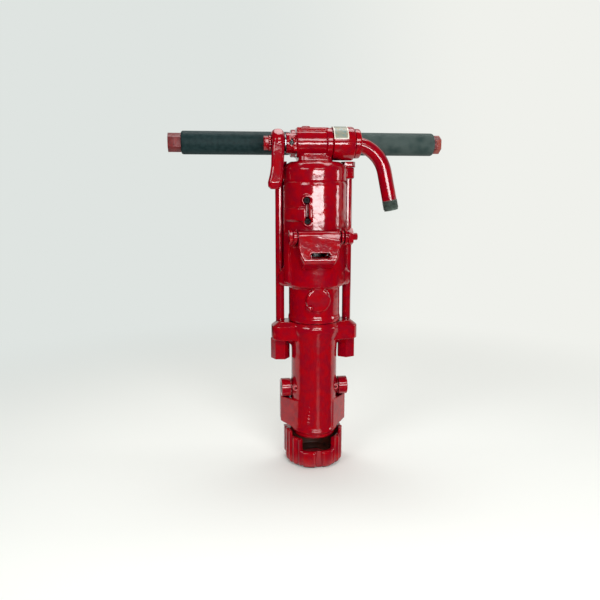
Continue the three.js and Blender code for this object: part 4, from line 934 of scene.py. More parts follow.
@dataclass
class Retainer(Assembly):
    """Steel retainer: fluted cup with a front window, hung on two arms from eyes beside the nose."""

    radius: float = 51.3
    bore: float = 42.0
    height: float = 58.0
    floor: float = 12.0
    front_height: float = 52.0
    tab_height: float = 31.0
    half_window: float = 0.645
    mouth_radius: float = 23.5
    mouth_forward: float = 8.0
    side_height: float = 62.0
    nose_radius: float = 41.6
    joggle: float = 74.0
    groove: float = 11.0
    groove_shift: float = 2.2
    ribs: int = 24
    rib_radius: float = 5.6
    rib_foot: tuple[Point, ...] = ((0.86, 0.4, 3.2), (0.94, 2.4, 4.6), (0.985, 5.5, 5.3))
    pivot_z: float = 137.0
    eye_radius: float = 16.0
    eye_inner: float = 42.8
    eye_outer: float = 59.0
    arm_front: float = 12.6
    arm_back: float = 25.6
    wing_top: float = 118.5
    bolt_head: float = 9.0
    bolt_shank: float = 6.5
    bolt_length: float = 21.5
    socket: float = 3.6
    washer: Pair = (40.5, 41.9)
    washer_radius: float = 15.0
    washer_bore: float = 6.9
    voxel: float = 0.9

    def _cup(self, stock: Stock) -> None:
        """Adds the fluted cup with its two front tabs.

        Args:
            stock: the forms of the retainer.
        """
        wall = self.radius - 3.4
        stock.turned([(0, 0), (wall - 8, 0), (wall - 3, 1.4), (wall - 0.8, 4.2), (wall, 8),
                      (wall, self.side_height), (0, self.side_height)], count=BARREL_SIDES)
        for k in range(self.ribs):
            angle = math.tau * (k + 0.5) / self.ribs
            if abs((angle + math.pi / 2 + math.pi) % math.tau - math.pi) < self.half_window:
                continue
            reach = self.radius - self.rib_radius
            x, y = reach * math.cos(angle), reach * math.sin(angle)
            foot = [(x * share, y * share, z, radius) for share, z, radius in self.rib_foot]
            stock.hull(foot + [(x, y, z, self.rib_radius) for z in (9, self.side_height)], count=20)
        outer = self.half_window - 0.13
        for sign in (-1, 1):
            inner = math.asin((self.groove / 2 + sign * self.groove_shift) / self.radius) + 0.1
            arc = [sign * (inner + (outer - inner) * k / 4) for k in range(5)]
            skin = self.radius - 4.6
            layers = (((skin, self.bore + 4), (7.0, self.tab_height - 3), 4.4),
                      ((skin, self.bore + 3), (2.6, self.tab_height - 0.4), 2.0),
                      ((skin * 0.95,), (0.6,), 2.0))
            stock.hull([(*round_front(r, a), z, thick) for radii, heights, thick in layers
                        for r in radii for a in arc for z in heights], count=12)
        sweep = [self.half_window * (k / 4 - 1) for k in range(9)]
        stock.prism([round_front(self.bore - 1, a) for a in sweep] + [round_front(45.2, -a) for a in sweep],
                    3.0, self.tab_height - 1)

    def _arms(self, stock: Stock) -> None:
        """Adds both arms with their eyes.

        Args:
            stock: the forms of the retainer.
        """
        for side in SIDES:
            outer, inner = side.value * self.eye_outer, side.value * self.eye_inner
            low, high = min(outer, inner), max(outer, inner)
            outline = [(-self.floor, self.arm_front), (-self.floor, self.arm_back),
                       (-(self.pivot_z + 6), self.arm_back), (-(self.pivot_z + 12.5), self.arm_front),
                       (-self.pivot_z, 0), (-(self.wing_top + 1), self.arm_front)]
            stock.prism(outline, low, high, Lie.ACROSS)
            stock.rod(self.eye_radius, low, high, Lie.ACROSS, (0, 0, self.pivot_z))

    def _cuts(self) -> Stock:
        """Everything cut out of the retainer.

        Returns:
            The cuts.
        """
        cuts = Stock().rod(self.bore, self.floor, self.side_height + 60, count=72)
        cuts.rod(self.mouth_radius, -4, self.floor + 4, at=(0, -self.mouth_forward, 0))
        wide = self.radius + 8
        edge = round_front(wide, self.half_window)
        cuts.prism([(0, -2), (-edge[0], edge[1]), (-edge[0], -wide - 8), (edge[0], -wide - 8), edge],
                   self.tab_height, self.side_height + 4)
        half = self.groove / 2 - 1.4
        cuts.hull([(self.groove_shift + x, y, z, 1.4) for x in (-half, half) for y in (-46.4, -wide)
                   for z in (-4, self.height)], count=16)
        near = self.nose_radius
        cuts.block((-near, -wide, self.front_height), (near, -8, self.side_height + 4))
        cuts.block((-wide, -2, self.height), (wide, wide, self.side_height + 4))
        pivot = (0, 0, self.pivot_z)
        for sign in (-1, 1):
            far = sign * (self.eye_outer + 6)
            cuts.rod(self.bolt_shank + 0.3, 0, far, Lie.ACROSS, pivot, count=SMALL_SIDES)
            cuts.rod(self.bolt_head + 0.3, sign * (self.eye_outer - 5.6), far, Lie.ACROSS, pivot,
                     count=SMALL_SIDES)
            near = sign * (self.radius + 0.4)
            cuts.block((min(near, far), self.arm_front - 3, -4),
                       (max(near, far), self.arm_back + 3, self.joggle))
        return cuts

    def build(self) -> None:
        """Builds the retainer with its bolts and washers."""
        solid = Stock()
        self._cup(solid)
        self._arms(solid)
        shape = solid.cast(self.voxel, self._cuts(), polish=3, lumps=0.2)
        cup = self.shop.piece(shape, "retainer", "casting", body=Body.RETAINER, sharp=60)
        # Faces inside the cup take the dark brown second material: painted shade in the recess.
        cup.data.materials.append(CUP_INSIDE_PAINTED_SHADE.material())
        for face in cup.data.polygons:
            x, y, z = face.center / MILLIMETRE
            inside = math.hypot(x, y) < self.bore + 0.7 and self.floor - 0.8 < z < self.front_height + 6
            face.material_index = 1 if inside else 0
        at, face, end = (0, 0, self.pivot_z), self.eye_outer - 0.2, self.eye_outer - self.bolt_length
        for side in SIDES:
            bolt = Stock().turned([
                (0, end), (self.bolt_shank, end), (self.bolt_shank, face - 5), (self.bolt_head, face - 5),
                (self.bolt_head, face), (self.socket, face), (self.socket, face - 2.5), (0, face - 2.5),
            ], Lie.ACROSS, count=40, bevel=0.5)
            if side is Side.LEFT:
                bmesh.ops.rotate(bolt.mesh, verts=bolt.mesh.verts, cent=ORIGIN,
                                 matrix=Matrix.Rotation(math.pi, 3, "Z"))
            bmesh.ops.translate(bolt.mesh, vec=at, verts=bolt.mesh.verts)
            self.shop.piece(bolt, f"retainer_bolt_{side.word}", "shoulder", DARK_STEEL)
            near, far = self.washer
            washer = Stock().rod(self.washer_radius, side.value * near, side.value * far, Lie.ACROSS, at,
                                 bore=self.washer_bore, bevel=0.3)
            self.shop.piece(washer, f"retainer_washer_{side.word}", "ring")


@dataclass
class Cylinder(Assembly):
    """Cylinder casting: neck with its round boss, flange ears, barrel, pads and exhaust lugs."""

    rods: SideRods
    rod_slack: float = 0.8
    low: float = 259.8
    neck_top: float = 319.8
    top: float = 496.2
    radius: float = 54.2
    neck_radius: float = 44.2
    ear_span: float = 62.6
    ear_depth: float = 28.0
    bore: float = 33.4
    counterbore: float = 40.0
    bore_low: float = 299.3
    bore_top: float = 451.3
    stem_bore: float = 24.0
    boss_radius: float = 20.5
    boss_z: float = 300.4
    boss_proud: float = 3.2
    exhaust_z: float = 408.8
    bolt_forward: float = 64.0
    knuckle: float = 10.0
    upper: Pair = (-21.0, 467.2)
    lower: Pair = (-19.4, 433.2)
    nipple: Pair = (-14.5, 287.8)
    ring: float = 8.6
    ring_proud: float = 2.4
    holes: Pair = (5.9, 5.3)
    knuckles: tuple[Pair, ...] = ((-46.3, -38.3), (33.3, 38.8))
    bolt_hole: float = 6.5
    port: Pair = (374.8, 394.8)
    port_half: float = 12.0
    voxel: float = 1.4

    def _face(self, x: float) -> float:
        """How far forward the barrel's face lies at one X."""
        return math.sqrt(self.radius ** 2 - x ** 2)

    def _ears(self, stock: Stock) -> None:
        """Adds the flange whose ears reach out to the side rods.

        Args:
            stock: the forms of the casting.
        """
        low, high, flare = self.neck_top, self.neck_top + 24, self.neck_top + 44
        reach = self.ear_span - self.ear_depth / 2
        wide = self.ear_depth / 2
        ears = [(sign * reach, 0, z, wide - inset) for sign in (-1, 1)
                for z, inset in ((low + 1.5, 2.5), (low + 6, 0), (high, 0))]
        stock.hull([(0, 0, low, self.neck_radius), (0, 0, flare, self.neck_radius)] + ears
                   + [(sign * (reach - 9), 0, low, wide - 3) for sign in (-1, 1)], count=40)

    def _pads(self, stock: Stock) -> None:
        """Adds the raised pad, the rib, the port rings and the neck boss.

        Args:
            stock: the forms of the casting.
        """
        def arc(start: float, end: float, reach: float, low: float, high: float) -> None:
            """Adds one raised pad over part of the barrel.

            Args:
                start: angle from the front where it starts.
                end: angle where it ends.
                reach: its outer radius.
                low: lower Z.
                high: upper Z.
            """
            turns = [start + (end - start) * k / 8 for k in range(9)]
            stock.hull([(*round_front(r, a), z, 1.2) for a in turns
                        for r in (reach - 1.2, reach - 14) for z in (low + 1, high - 1)], count=8)

        arc(-0.25, -1.16, self.radius + 5.2, 433.0, 456.0)
        arc(-0.98, -1.2, self.radius + 5.4, self.neck_top + 8, self.neck_top + 92)
        for x, z in (self.upper, self.lower):
            face = self._face(x)
            stock.rod(self.ring, face - 12, face + self.ring_proud, Lie.FRONT, (x, 0, z), count=SMALL_SIDES)
        stock.rod(self.boss_radius, 30, self.neck_radius + self.boss_proud, Lie.FRONT, (0, 0, self.boss_z))
        stock.rod(5.6, 34, 43.6, Lie.FRONT, (self.nipple[0], 0, self.nipple[1]), count=FINE_SIDES)

    def _lugs(self, stock: Stock) -> None:
        """Adds the two lugs that the exhaust deflector is bolted between.

        Args:
            stock: the forms of the casting.
        """
        z, y, k = self.exhaust_z, self.bolt_forward, self.knuckle
        for low, high in self.knuckles:
            rounds = ((-z, -y, k), (-(z - 9), -38, 9), (-(z + 4), -38, 5))
            stock.hull([(up, out, x, radius) for up, out, radius in rounds for x in (low, high)], Lie.ACROSS)

    def build(self) -> None:
        """Builds the casting and its small fittings."""
        neck, low, bend, top, r = self.neck_radius, self.low, self.neck_top, self.top, self.radius
        solid = Stock().turned([
            (0, low - 1), (neck + 0.2, low - 1), (neck + 1.2, low + 0.6), (neck + 1.2, low + 7),
            (neck + 0.3, low + 9), (neck, low + 11), (neck, bend), (neck + 4, bend + 1),
            (r - 1, bend + 3), (r, bend + 5), (r, top - 3.4), (r - 0.9, top - 1.8), (r - 0.9, top + 1),
            (0, top + 1),
        ], count=BARREL_SIDES)
        self._ears(solid)
        self._pads(solid)
        self._lugs(solid)
        cuts = Stock().turned([
            (0, low - 4), (self.stem_bore, low - 4), (self.stem_bore, self.bore_low),
            (self.bore, self.bore_low), (self.bore, self.bore_top), (self.counterbore, self.bore_top),
            (self.counterbore, top + 4), (0, top + 4),
        ])
        self.rods.holes(cuts, self.rods.radius + self.rod_slack, low - 4, top + 4)
        cuts.block((-self.port_half, -r - 4, self.port[0]), (self.port_half, 0, self.port[1]))
        cuts.rod(self.bolt_hole, -60, 60, Lie.ACROSS, (0, -self.bolt_forward, self.exhaust_z),
                 count=SMALL_SIDES)
        for (x, z), radius in zip((self.upper, self.lower), self.holes):
            face = self._face(x)
            cuts.rod(radius, face - 6.6, face + 8, Lie.FRONT, (x, 0, z), count=SMALL_SIDES)
        cuts.hull([(self.upper[0] + 0.8, z, depth, 2.6) for z in (437, 463)
                   for depth in (r - 8.5, r + 12)], Lie.FRONT, count=20)
        cuts.rod(3.9, 36.2, 60, Lie.FRONT, (self.nipple[0], 0, self.nipple[1]), count=FINE_SIDES)
        shape = solid.cast(self.voxel, cuts, lumps=CAST_LUMPS)
        self.shop.piece(shape, "cylinder", "casting", sharp=60)
        self._fittings()

    def _fittings(self) -> None:
        """Builds the two socket plugs and the lubricator nipple."""
        for name, (x, z) in (("oil_plug", self.upper), ("air_plug", self.lower)):
            face = self._face(x)
            plug = Stock().turned([
                (0, face - 6.4), (4.9, face - 6.4), (4.9, face - 0.6), (4.3, face), (2.6, face),
                (2.6, face - 4), (0, face - 4),
            ], Lie.FRONT, (x, 0, z), count=SMALL_SIDES)
            self.shop.piece(plug, name, "socket", HOLE_STEEL)
        face = math.sqrt(self.neck_radius ** 2 - self.nipple[0] ** 2)
        fitting = Stock().turned([
            (0, face - 5.4), (3.5, face - 5.4), (3.5, face + 0.6), (6.6, face + 0.8), (6.8, face + 2.6),
            (5.2, face + 3.2), (4.4, face + 3.8), (5.0, face + 4.6), (4.2, face + 5.4), (4.8, face + 6.2),
            (3.9, face + 7.0), (4.3, face + 7.8), (3.0, face + 8.8), (1.2, face + 9.2), (0, face + 8.6),
        ], Lie.FRONT, (self.nipple[0], 0, self.nipple[1]), count=SMALL_SIDES, bevel=0.2)
        self.shop.piece(fitting, "lubricator_nipple", "fitting")


@dataclass
class ExhaustDeflector(Assembly):
    """Exhaust deflector with the bolt, washers and nut that clamp it."""

    bolt_z: float = 408.8
    forward: float = 64.0
    knuckle: float = 10.0
    left: float = -38.0
    right: float = 33.0
    lip_forward: float = 80.0
    barrel: float = 54.5
    slot_width: float = 33.0
    slot_height: float = 9.0
    slot_x: float = -2.0
    hex_radius: float = 12.7
    bolt: float = 6.0
    bolt_span: Pair = (-47.0, 60.5)
    bolt_head: Pair = (-46.7, -52.2)
    nut: Pair = (44.3, 52.3)
    washers: tuple[tuple[str, float, float, float], ...] = (("deflector_washer", 13.8, 39.1, 41.4),
                                                            ("deflector_lock_washer", 12.2, 41.7, 44.0))
    voxel: float = 0.8

    def build(self) -> None:
        """Builds the deflector and its fixings."""
        z, y = self.bolt_z, -self.forward
        face = z - 25
        left, right = self.left + 0.4, self.right - 0.4

        def bar(up: float, out: float, radius: float, near: float, far: float) -> list[Circle]:
            """Two circles that stand for a round bar across the drill."""
            return [(-up, out, x, radius) for x in (left + near, right - far)]

        chin = bar(face - 12.4, y - 8.6, 7.0, 9, 11)
        solid = Stock().hull(bar(z, y, self.knuckle, 0, 1) + bar(z - 14, y - 3.0, 9.0, 0.5, 2.5)
                             + bar(face, y - 5.7, 8.0, 3, 5) + chin + bar(z - 2, -42, 8, 0, 0),
                             Lie.ACROSS, count=ROUND_SIDES)
        solid.hull([(-(z + 6.2), -71.0, right - 2.5, 1.2), (-(z - 2.6), -74.2, right - 2.5, 1.2),
                    (-(z + 3.4), -72.2, left + 14, 1.2), (-(z + 2.6), -72.4, left + 14, 1.2)]
                   + bar(z, y, 4, 14, 6), Lie.ACROSS, count=20)
        solid.hull(chin + bar(face, -58, 8.0, 3, 5) + bar(z - 43, -60, 6, 9, 11) + bar(z - 50, -46, 6, 9, 11),
                   Lie.ACROSS, count=ROUND_SIDES)
        cuts = Stock().rod(self.barrel, z - 80, z + 60, count=BARREL_SIDES)
        half = self.slot_width / 2 - self.slot_height / 2
        cuts.hull([(self.slot_x + sign * half, face - self.slot_height / 2, depth, self.slot_height / 2)
                   for sign in (-1, 1) for depth in (38, self.lip_forward + 5)], Lie.FRONT, count=FINE_SIDES)
        cuts.block((-14, -self.lip_forward + 9, 373.8), (12, -38, 390.3))
        cuts.rod(self.bolt + 0.5, -60, 60, Lie.ACROSS, (0, y, z), count=SMALL_SIDES)
        shape = solid.cast(self.voxel, cuts, lumps=CAST_LUMPS)
        self.shop.piece(shape, "exhaust_deflector", "casting", sharp=60)
        at = (0, y, z)
        head = Stock().rod(self.bolt - 0.1, *self.bolt_span, Lie.ACROSS, at, count=SMALL_SIDES, bevel=0.8)
        head.hexagon(self.hex_radius, *self.bolt_head, Lie.ACROSS, at, turn=0.3, chamfer=1.6, bevel=0.4)
        self.shop.piece(head, "deflector_bolt", "hexagon")
        for name, radius, low, high in self.washers:
            ring = Stock().rod(radius, low, high, Lie.ACROSS, at, bore=self.bolt + 0.3, bevel=0.7)
            self.shop.piece(ring, name, "ring")
        nut = Stock().hexagon(self.hex_radius + 1.2, *self.nut, Lie.ACROSS, at, turn=0.7, chamfer=2.2,
                              bevel=0.5)
        self.shop.piece(nut, "deflector_nut", "hexagon")


@dataclass
class Backhead(Assembly):
    """Backhead casting: skirt, throttle housing, handle boss and the upper rod lugs."""

    rods: SideRods
    rod_slack: float = 0.5
    head_slack: float = 2.2
    low: float = 496.5
    skirt_top: float = 519.5
    radius: float = 54.2
    crown: float = 40.0
    shoulder: float = 12.0
    axis_z: float = 561.0
    housing: float = 23.0
    left: float = -32.0
    right: float = 28.0
    boss_end: float = -50.0
    boss_radius: float = 17.0
    collar_radius: float = 26.0
    handle_back: float = 62.0
    handle_z: float = 564.5
    handle_radius: float = 24.0
    handle_left: float = -34.0
    handle_right: float = 38.0
    rod_head_z: float = 521.8
    bore: float = 15.4
    detent_x: float = -15.0
    stop_x: float = -41.0
    pin: Pair = (-40.5, 5.0)
    voxel: float = 1.1

    def _solid(self) -> Stock:
        """Joins the forms of the casting.

        Returns:
            The overlapping forms.
        """
        r, low, skirt, z = self.radius, self.low, self.skirt_top, self.axis_z
        axis = (0, 0, z)
        solid = Stock().turned([
            (0, low - 1), (r - 0.9, low - 1), (r - 0.9, low + 0.6), (r, low + 2.2), (r, skirt - 2),
            (r - 1.5, skirt + 2.4), (r - 6, skirt + 7.4), (self.crown + 2, skirt + self.shoulder - 1),
            (0, skirt + self.shoulder),
        ], count=BARREL_SIDES)
        solid.hull([(x, y, level, 9) for x in (-17, 17) for y in (-5, 13) for level in (skirt, z - 4)]
                   + [(x, y, skirt + 6, 11) for x in (-19, 19) for y in (-7, 13)], count=FINE_SIDES)
        solid.rod(self.housing, self.left, self.right, Lie.ACROSS, axis)
        solid.block((self.left + 0.5, -13, z), (self.right - 7, 14, z + self.housing + 2.4))
        solid.rod(self.boss_radius, self.boss_end, 0, Lie.ACROSS, axis)
        solid.rod(self.collar_radius, self.right - 10, self.right, Lie.ACROSS, axis)
        solid.hull([(-z, 0, x, self.housing - 1) for x in (-26, 26)]
                   + [(-self.handle_z, self.handle_back, x, self.handle_radius - 1) for x in (-26, 26)]
                   + [(-(skirt + 4), 0, x, 4) for x in (-24, 24)], Lie.ACROSS, count=40)
        solid.rod(self.handle_radius, self.handle_left, self.handle_right, Lie.ACROSS,
                  (0, self.handle_back, self.handle_z))
        seat = self.rod_head_z - 0.3
        for sign in (-1, 1):
            lug = ((low + 6, 1.5), (low + 9, 0), (self.rod_head_z - 1.3, 0), (seat, 1))
            solid.hull([(sign * self.rods.spread, self.rods.back, level, 11.0 - inset) for level,
                        inset in lug]
                       + [(sign * 40, 0, level, 11.0) for level in (low + 6, seat)])
        solid.rod(8, 0, self.housing + 2, at=(self.detent_x, 0, z), count=SMALL_SIDES)
        solid.rod(5.2, 8, 18.6, Lie.FRONT, (self.pin[0], 0, z + self.pin[1]), count=SMALL_SIDES)
        solid.ball(4.6, (-35.5, -15.5, z - 9), (1, 0.7, 1.3))
        return solid

    def build(self) -> None:
        """Builds the casting, the detent cap and the stop screw."""
        z, low = self.axis_z, self.low - 4
        cuts = Stock().rod(self.bore, self.boss_end - 4, self.right + 4, Lie.ACROSS, (0, 0, z))
        cuts.rod(10.0, self.handle_left - 4, self.handle_right + 4, Lie.ACROSS,
                 (0, self.handle_back, self.handle_z))
        cuts.rod(9.0, low, z, count=SMALL_SIDES)
        cuts.rod(37.0, low, self.low + 22)
        cuts.rod(1.9, 10, 22, Lie.FRONT, (self.pin[0], 0, z + self.pin[1]), count=20)
        cuts.rod(4.3, z, z + 40, at=(self.detent_x, 0, 0), count=FINE_SIDES)
        cuts.rod(6.2, z + self.housing, z + 40, at=(self.detent_x, 0, 0), count=SMALL_SIDES)
        cuts.rod(3.6, self.bore - 1, 30, Lie.FRONT, (self.stop_x, 0, z), count=FINE_SIDES)
        self.rods.holes(cuts, self.rods.radius + self.rod_slack, low, self.rod_head_z + 3)
        self.rods.holes(cuts, self.rods.head_radius + self.head_slack, self.rod_head_z - 0.3,
                        self.rod_head_z + 24)
        shape = self._solid().cast(self.voxel, cuts, lumps=CAST_LUMPS)
        self.shop.piece(shape, "backhead", "casting", sharp=60)
        cap = Stock().turned([
            (0, 23.4), (5.7, 23.4), (5.7, 25.3), (7.2, 25.5), (7.2, 27), (6.4, 27.8), (3, 27.8), (3, 26.6),
            (0, 26.6),
        ], at=(self.detent_x, 0, z), count=40, bevel=0.3)
        self.shop.piece(cap, "detent_cap", "screw")
        stop = Stock().turned([
            (0, 15.9), (3.1, 15.9), (3.1, 16.6), (2.6, 17.2), (1.4, 17.2), (1.4, 16.3), (0, 16.3),
        ], Lie.FRONT, (self.stop_x, 0, z), count=FINE_SIDES)
        self.shop.piece(stop, "throttle_stop_screw", "set", DARK_STEEL)


@dataclass
class ThrottleLever(Assembly):
    """Throttle lever with the toothed washer and nut on its spindle."""

    axis_z: float = 561.0
    left: float = -73.7
    right: float = -52.0
    hub: float = 21.5
    hub_rise: float = 2.0
    facet_tilt: float = 0.93
    facet_depth: float = 1.8
    spindle: float = 8.3
    drop: float = 77.0
    rows: tuple[tuple[float, ...], ...] = (
        (0.0, -0.2, 15.0, 10.0, 5.5), (0.26, -1.4, 16.6, 10.8, 6.2), (0.5, -2.4, 18.2, 10.6, 6.2),
        (0.68, -4.2, 19.4, 11.2, 6.4), (0.84, -6.8, 20.2, 12.0, 6.4), (0.93, -7.6, 20.2, 10.6, 5.4),
        (0.985, -7.2, 20.0, 6.6, 4.2),
    )
    washer_radius: float = 12.6
    teeth: int = 10
    tooth_ring: float = 12.9
    tooth: float = 2.2
    nut_radius: float = 12.0
    voxel: float = 0.7

    def build(self) -> None:
        """Builds the lever, washer and nut."""
        z, hub, left, right = self.axis_z, self.hub, self.left, self.right
        axis, middle = (0, 0, z), (left + right) / 2
        solid = Stock().turned([
            (0, left), (hub - 7.5, left), (hub - 3.6, left + 1.9), (hub - 1.2, left + 5),
            (hub, left + 9.5), (hub, right - 8), (hub - 1.2, right - 4.2), (hub - 3.4, right - 1.6),
            (hub - 6.5, right), (0, right),
        ], Lie.ACROSS, (0, 0, z + self.hub_rise))
        for first, second in zip(self.rows, self.rows[1:]):
            solid.hull([(middle + shift + sign * (wide - thick), -out, z - self.drop * share, thick)
                        for share, shift, out, wide, thick in (first, second) for sign in (-1, 1)],
                        count=FINE_SIDES)
        cuts = Stock().rod(self.spindle, left - 3, right + 3, Lie.ACROSS, axis, count=40)
        tilt, reach, span = self.facet_tilt, hub - self.facet_depth, 30.0
        out, along = (-math.cos(tilt), math.sin(tilt)), (math.sin(tilt), math.cos(tilt))
        corners = [(out[0] * far + along[0] * side, out[1] * far + along[1] * side)
                   for far, side in ((reach, -span), (reach, span), (reach + 9, span), (reach + 9, -span))]
        cuts.prism([(-(up + z + self.hub_rise), y) for y, up in corners], left - 3, right + 3, Lie.ACROSS)
        shape = solid.cast(self.voxel, cuts, polish=5, lumps=0.25)
        self.shop.piece(shape, "throttle_lever", "casting", body=Body.THROTTLE, sharp=60)
        washer = Stock().rod(self.washer_radius, left - 4.3, left - 0.3, Lie.ACROSS, axis, bore=self.spindle,
                             bevel=0.5)
        teeth = Stock()
        for k in range(self.teeth):
            angle = math.tau * k / self.teeth
            at = (0, self.tooth_ring * math.cos(angle), z + self.tooth_ring * math.sin(angle))
            teeth.rod(self.tooth, left - 5, left + 0.4, Lie.ACROSS, at, count=16)
        self.shop.piece(washer.cast(0.5, teeth, polish=2), "lever_lock_washer", "toothed", body=Body.THROTTLE,
                   sharp=60)
        nut = Stock().hexagon(self.nut_radius, left - 4.6, left - 12.6, Lie.ACROSS, axis, turn=0.35,
                              chamfer=1.6, bevel=0.4)
        self.shop.piece(nut, "lever_nut", "hexagon", body=Body.THROTTLE)


@dataclass
class AirInlet(Assembly):
    """Air inlet: swivel body with a blank label, gland nut and the gooseneck pipe."""

    axis_z: float = 561.0
    body_low: float = 28.3
    body_high: float = 66.0
    body_radius: float = 28.0
    nut_high: float = 76.8
    nut_radius: float = 24.5
    bend_x: float = 63.0
    bend_radius: float = 60.0
    bend_angle: float = 1.36
    straight: float = 66.0
    tube: float = 12.5
    bore: float = 9.5
    thread_start: float = 48.0
    pitch: float = 1.8
    pipe_start: float = 50.6
    collar_radius: float = 18.0
    collar: Pair = (50.1, 60.0)
    label_x: tuple[float, ...] = (28.7, 30.3, 51.8, 53.4)
    label_behind: float = 0.06
    label_front: float = 1.36
    label_steps: int = 24

    def _gooseneck(self) -> Stock:
        """Draws the bent pipe up to its threaded end.

        Returns:
            The pipe with its collar.
        """
        pipe = bmesh.new()
        for radius in (self.tube, self.bore):
            bmesh.ops.create_circle(pipe, cap_ends=False, segments=48, radius=radius)
        bmesh.ops.bridge_loops(pipe, edges=pipe.edges[:])
        lay = Matrix.Translation((self.pipe_start, 0, self.axis_z)) @ Lie.ACROSS.value
        bmesh.ops.transform(pipe, matrix=lay, verts=pipe.verts)

        def faces(geom: Iterable) -> list[bmesh.types.BMFace]:
            """Only the faces."""
            return [f for f in geom if isinstance(f, bmesh.types.BMFace)]

        def draw(end: list[bmesh.types.BMFace], way: Vector) -> list[bmesh.types.BMFace]:
            """Draws an open end on in a straight line.

            Args:
                end: the faces at the end.
                way: how far and which way.

            Returns:
                The faces at the new end.
            """
            drawn = bmesh.ops.extrude_face_region(pipe, geom=end)["geom"]
            bmesh.ops.translate(pipe, vec=way, verts=[v for v in drawn if isinstance(v, bmesh.types.BMVert)])
            return faces(drawn)

        end = draw(pipe.faces[:], Vector((self.bend_x - self.pipe_start, 0, 0)))
        rim = dict.fromkeys(item for f in end for item in (*f.edges, *f.verts))
        bent = bmesh.ops.spin(pipe, geom=end + list(rim),
                              cent=(self.bend_x, 0, self.axis_z - self.bend_radius),
                              axis=(0, 1, 0), angle=self.bend_angle, steps=28, use_merge=False)["geom_last"]
        down = Vector((math.cos(self.bend_angle), 0, -math.sin(self.bend_angle)))
        draw(faces(bent), down * (self.thread_start + 0.6))
        bmesh.ops.recalc_face_normals(pipe, faces=pipe.faces)
        return Stock().take(pipe).rod(self.collar_radius, *self.collar, Lie.ACROSS, (0, 0, self.axis_z),
                                      bore=self.bore + 1, bevel=0.6)

    def _thread(self) -> Stock:
        """The threaded end of the pipe.

        Returns:
            The end, lying in line with the pipe.
        """
        profile: list[Pair] = [(self.bore, self.thread_start), (self.tube + 0.1, self.thread_start)]
        level = self.thread_start + 1.0
        while level + self.pitch < self.straight - 1.2:
            profile += [(self.tube - 0.2, level), (self.tube + 0.8, level + self.pitch * 0.5)]
            level += self.pitch
        profile += [(self.tube - 0.4, level), (self.tube - 0.7, self.straight), (self.bore, self.straight)]
        end = Stock().turned(profile, count=ROUND_SIDES)
        tilt = Matrix.Rotation(math.pi / 2 + self.bend_angle, 4, "Y")
        corner = Vector((self.bend_x + self.bend_radius * math.sin(self.bend_angle), 0,
                         self.axis_z - self.bend_radius * (1 - math.cos(self.bend_angle))))
        bmesh.ops.transform(end.mesh, matrix=Matrix.Translation(corner) @ tilt, verts=end.mesh.verts)
        return end

    def build(self) -> None:
        """Builds the body, label, nut and gooseneck."""
        at = (0, 0, self.axis_z)
        r, low, high = self.body_radius, self.body_low, self.body_high
        body = Stock().turned([
            (15.4, low), (r - 1, low), (r, low + 1.2), (r, high - 4), (r - 0.9, high - 1.6),
            (r - 3, high), (18.5, high), (18.5, 49.7), (15.4, 49.7),
        ], Lie.ACROSS, at, count=BARREL_SIDES, bevel=0.3)
        self.shop.piece(body, "inlet_body", "casting")
        r, end = self.nut_radius, self.nut_high
        nut = Stock().turned([
            (15.5, high + 0.3), (r - 0.8, high + 0.3), (r, high + 1.2), (r, end - 3),
            (r - 1.0, end - 1.0), (r - 3, end), (15.5, end),
        ], Lie.ACROSS, at, count=BARREL_SIDES, bevel=0.3)
        self.shop.piece(nut, "inlet_nut", "gland")
        self.shop.piece(self._gooseneck(), "gooseneck", "pipe", body=Body.AIR_INLET, sharp=40)
        self.shop.piece(self._thread(), "gooseneck", "thread", THREAD_STEEL, Body.AIR_INLET, sharp=20,
                        extra=True)
        self._label()

    def _label(self) -> None:
        """Lays a blank label with a pale border on the body."""
        part = bmesh.new()
        radius, steps, sweep = self.body_radius + 0.12, self.label_steps, self.label_behind + self.label_front
        ends = [part.verts.new((x, 0, radius)) for x in self.label_x]
        edges = [part.edges.new(pair) for pair in zip(ends, ends[1:])]
        back = Matrix.Rotation(-self.label_behind, 3, "X")
        bmesh.ops.rotate(part, verts=part.verts, cent=ORIGIN, matrix=back)
        bmesh.ops.spin(part, geom=ends + edges, cent=ORIGIN, axis=(1, 0, 0), steps=steps, use_merge=False,
                       angle=sweep)
        step = sweep / steps
        for face in part.faces:
            middle = face.calc_center_median()
            turn = math.atan2(-middle.y, middle.z)
            across = self.label_x[1] < middle.x < self.label_x[2]
            along = -self.label_behind + step < turn < self.label_front - 1.4 * step
            face.material_index = 1 if across and along else 0
        bmesh.ops.translate(part, vec=(0, 0, self.axis_z), verts=part.verts)
        bmesh.ops.recalc_face_normals(part, faces=part.faces)
        bmesh.ops.solidify(part, geom=part.faces[:], thickness=0.25)
        label = self.shop.piece(Stock().add(part), "blank", "label", LABEL_BORDER, extra=True)
        label.data.materials.append(LABEL_MIDDLE.material())


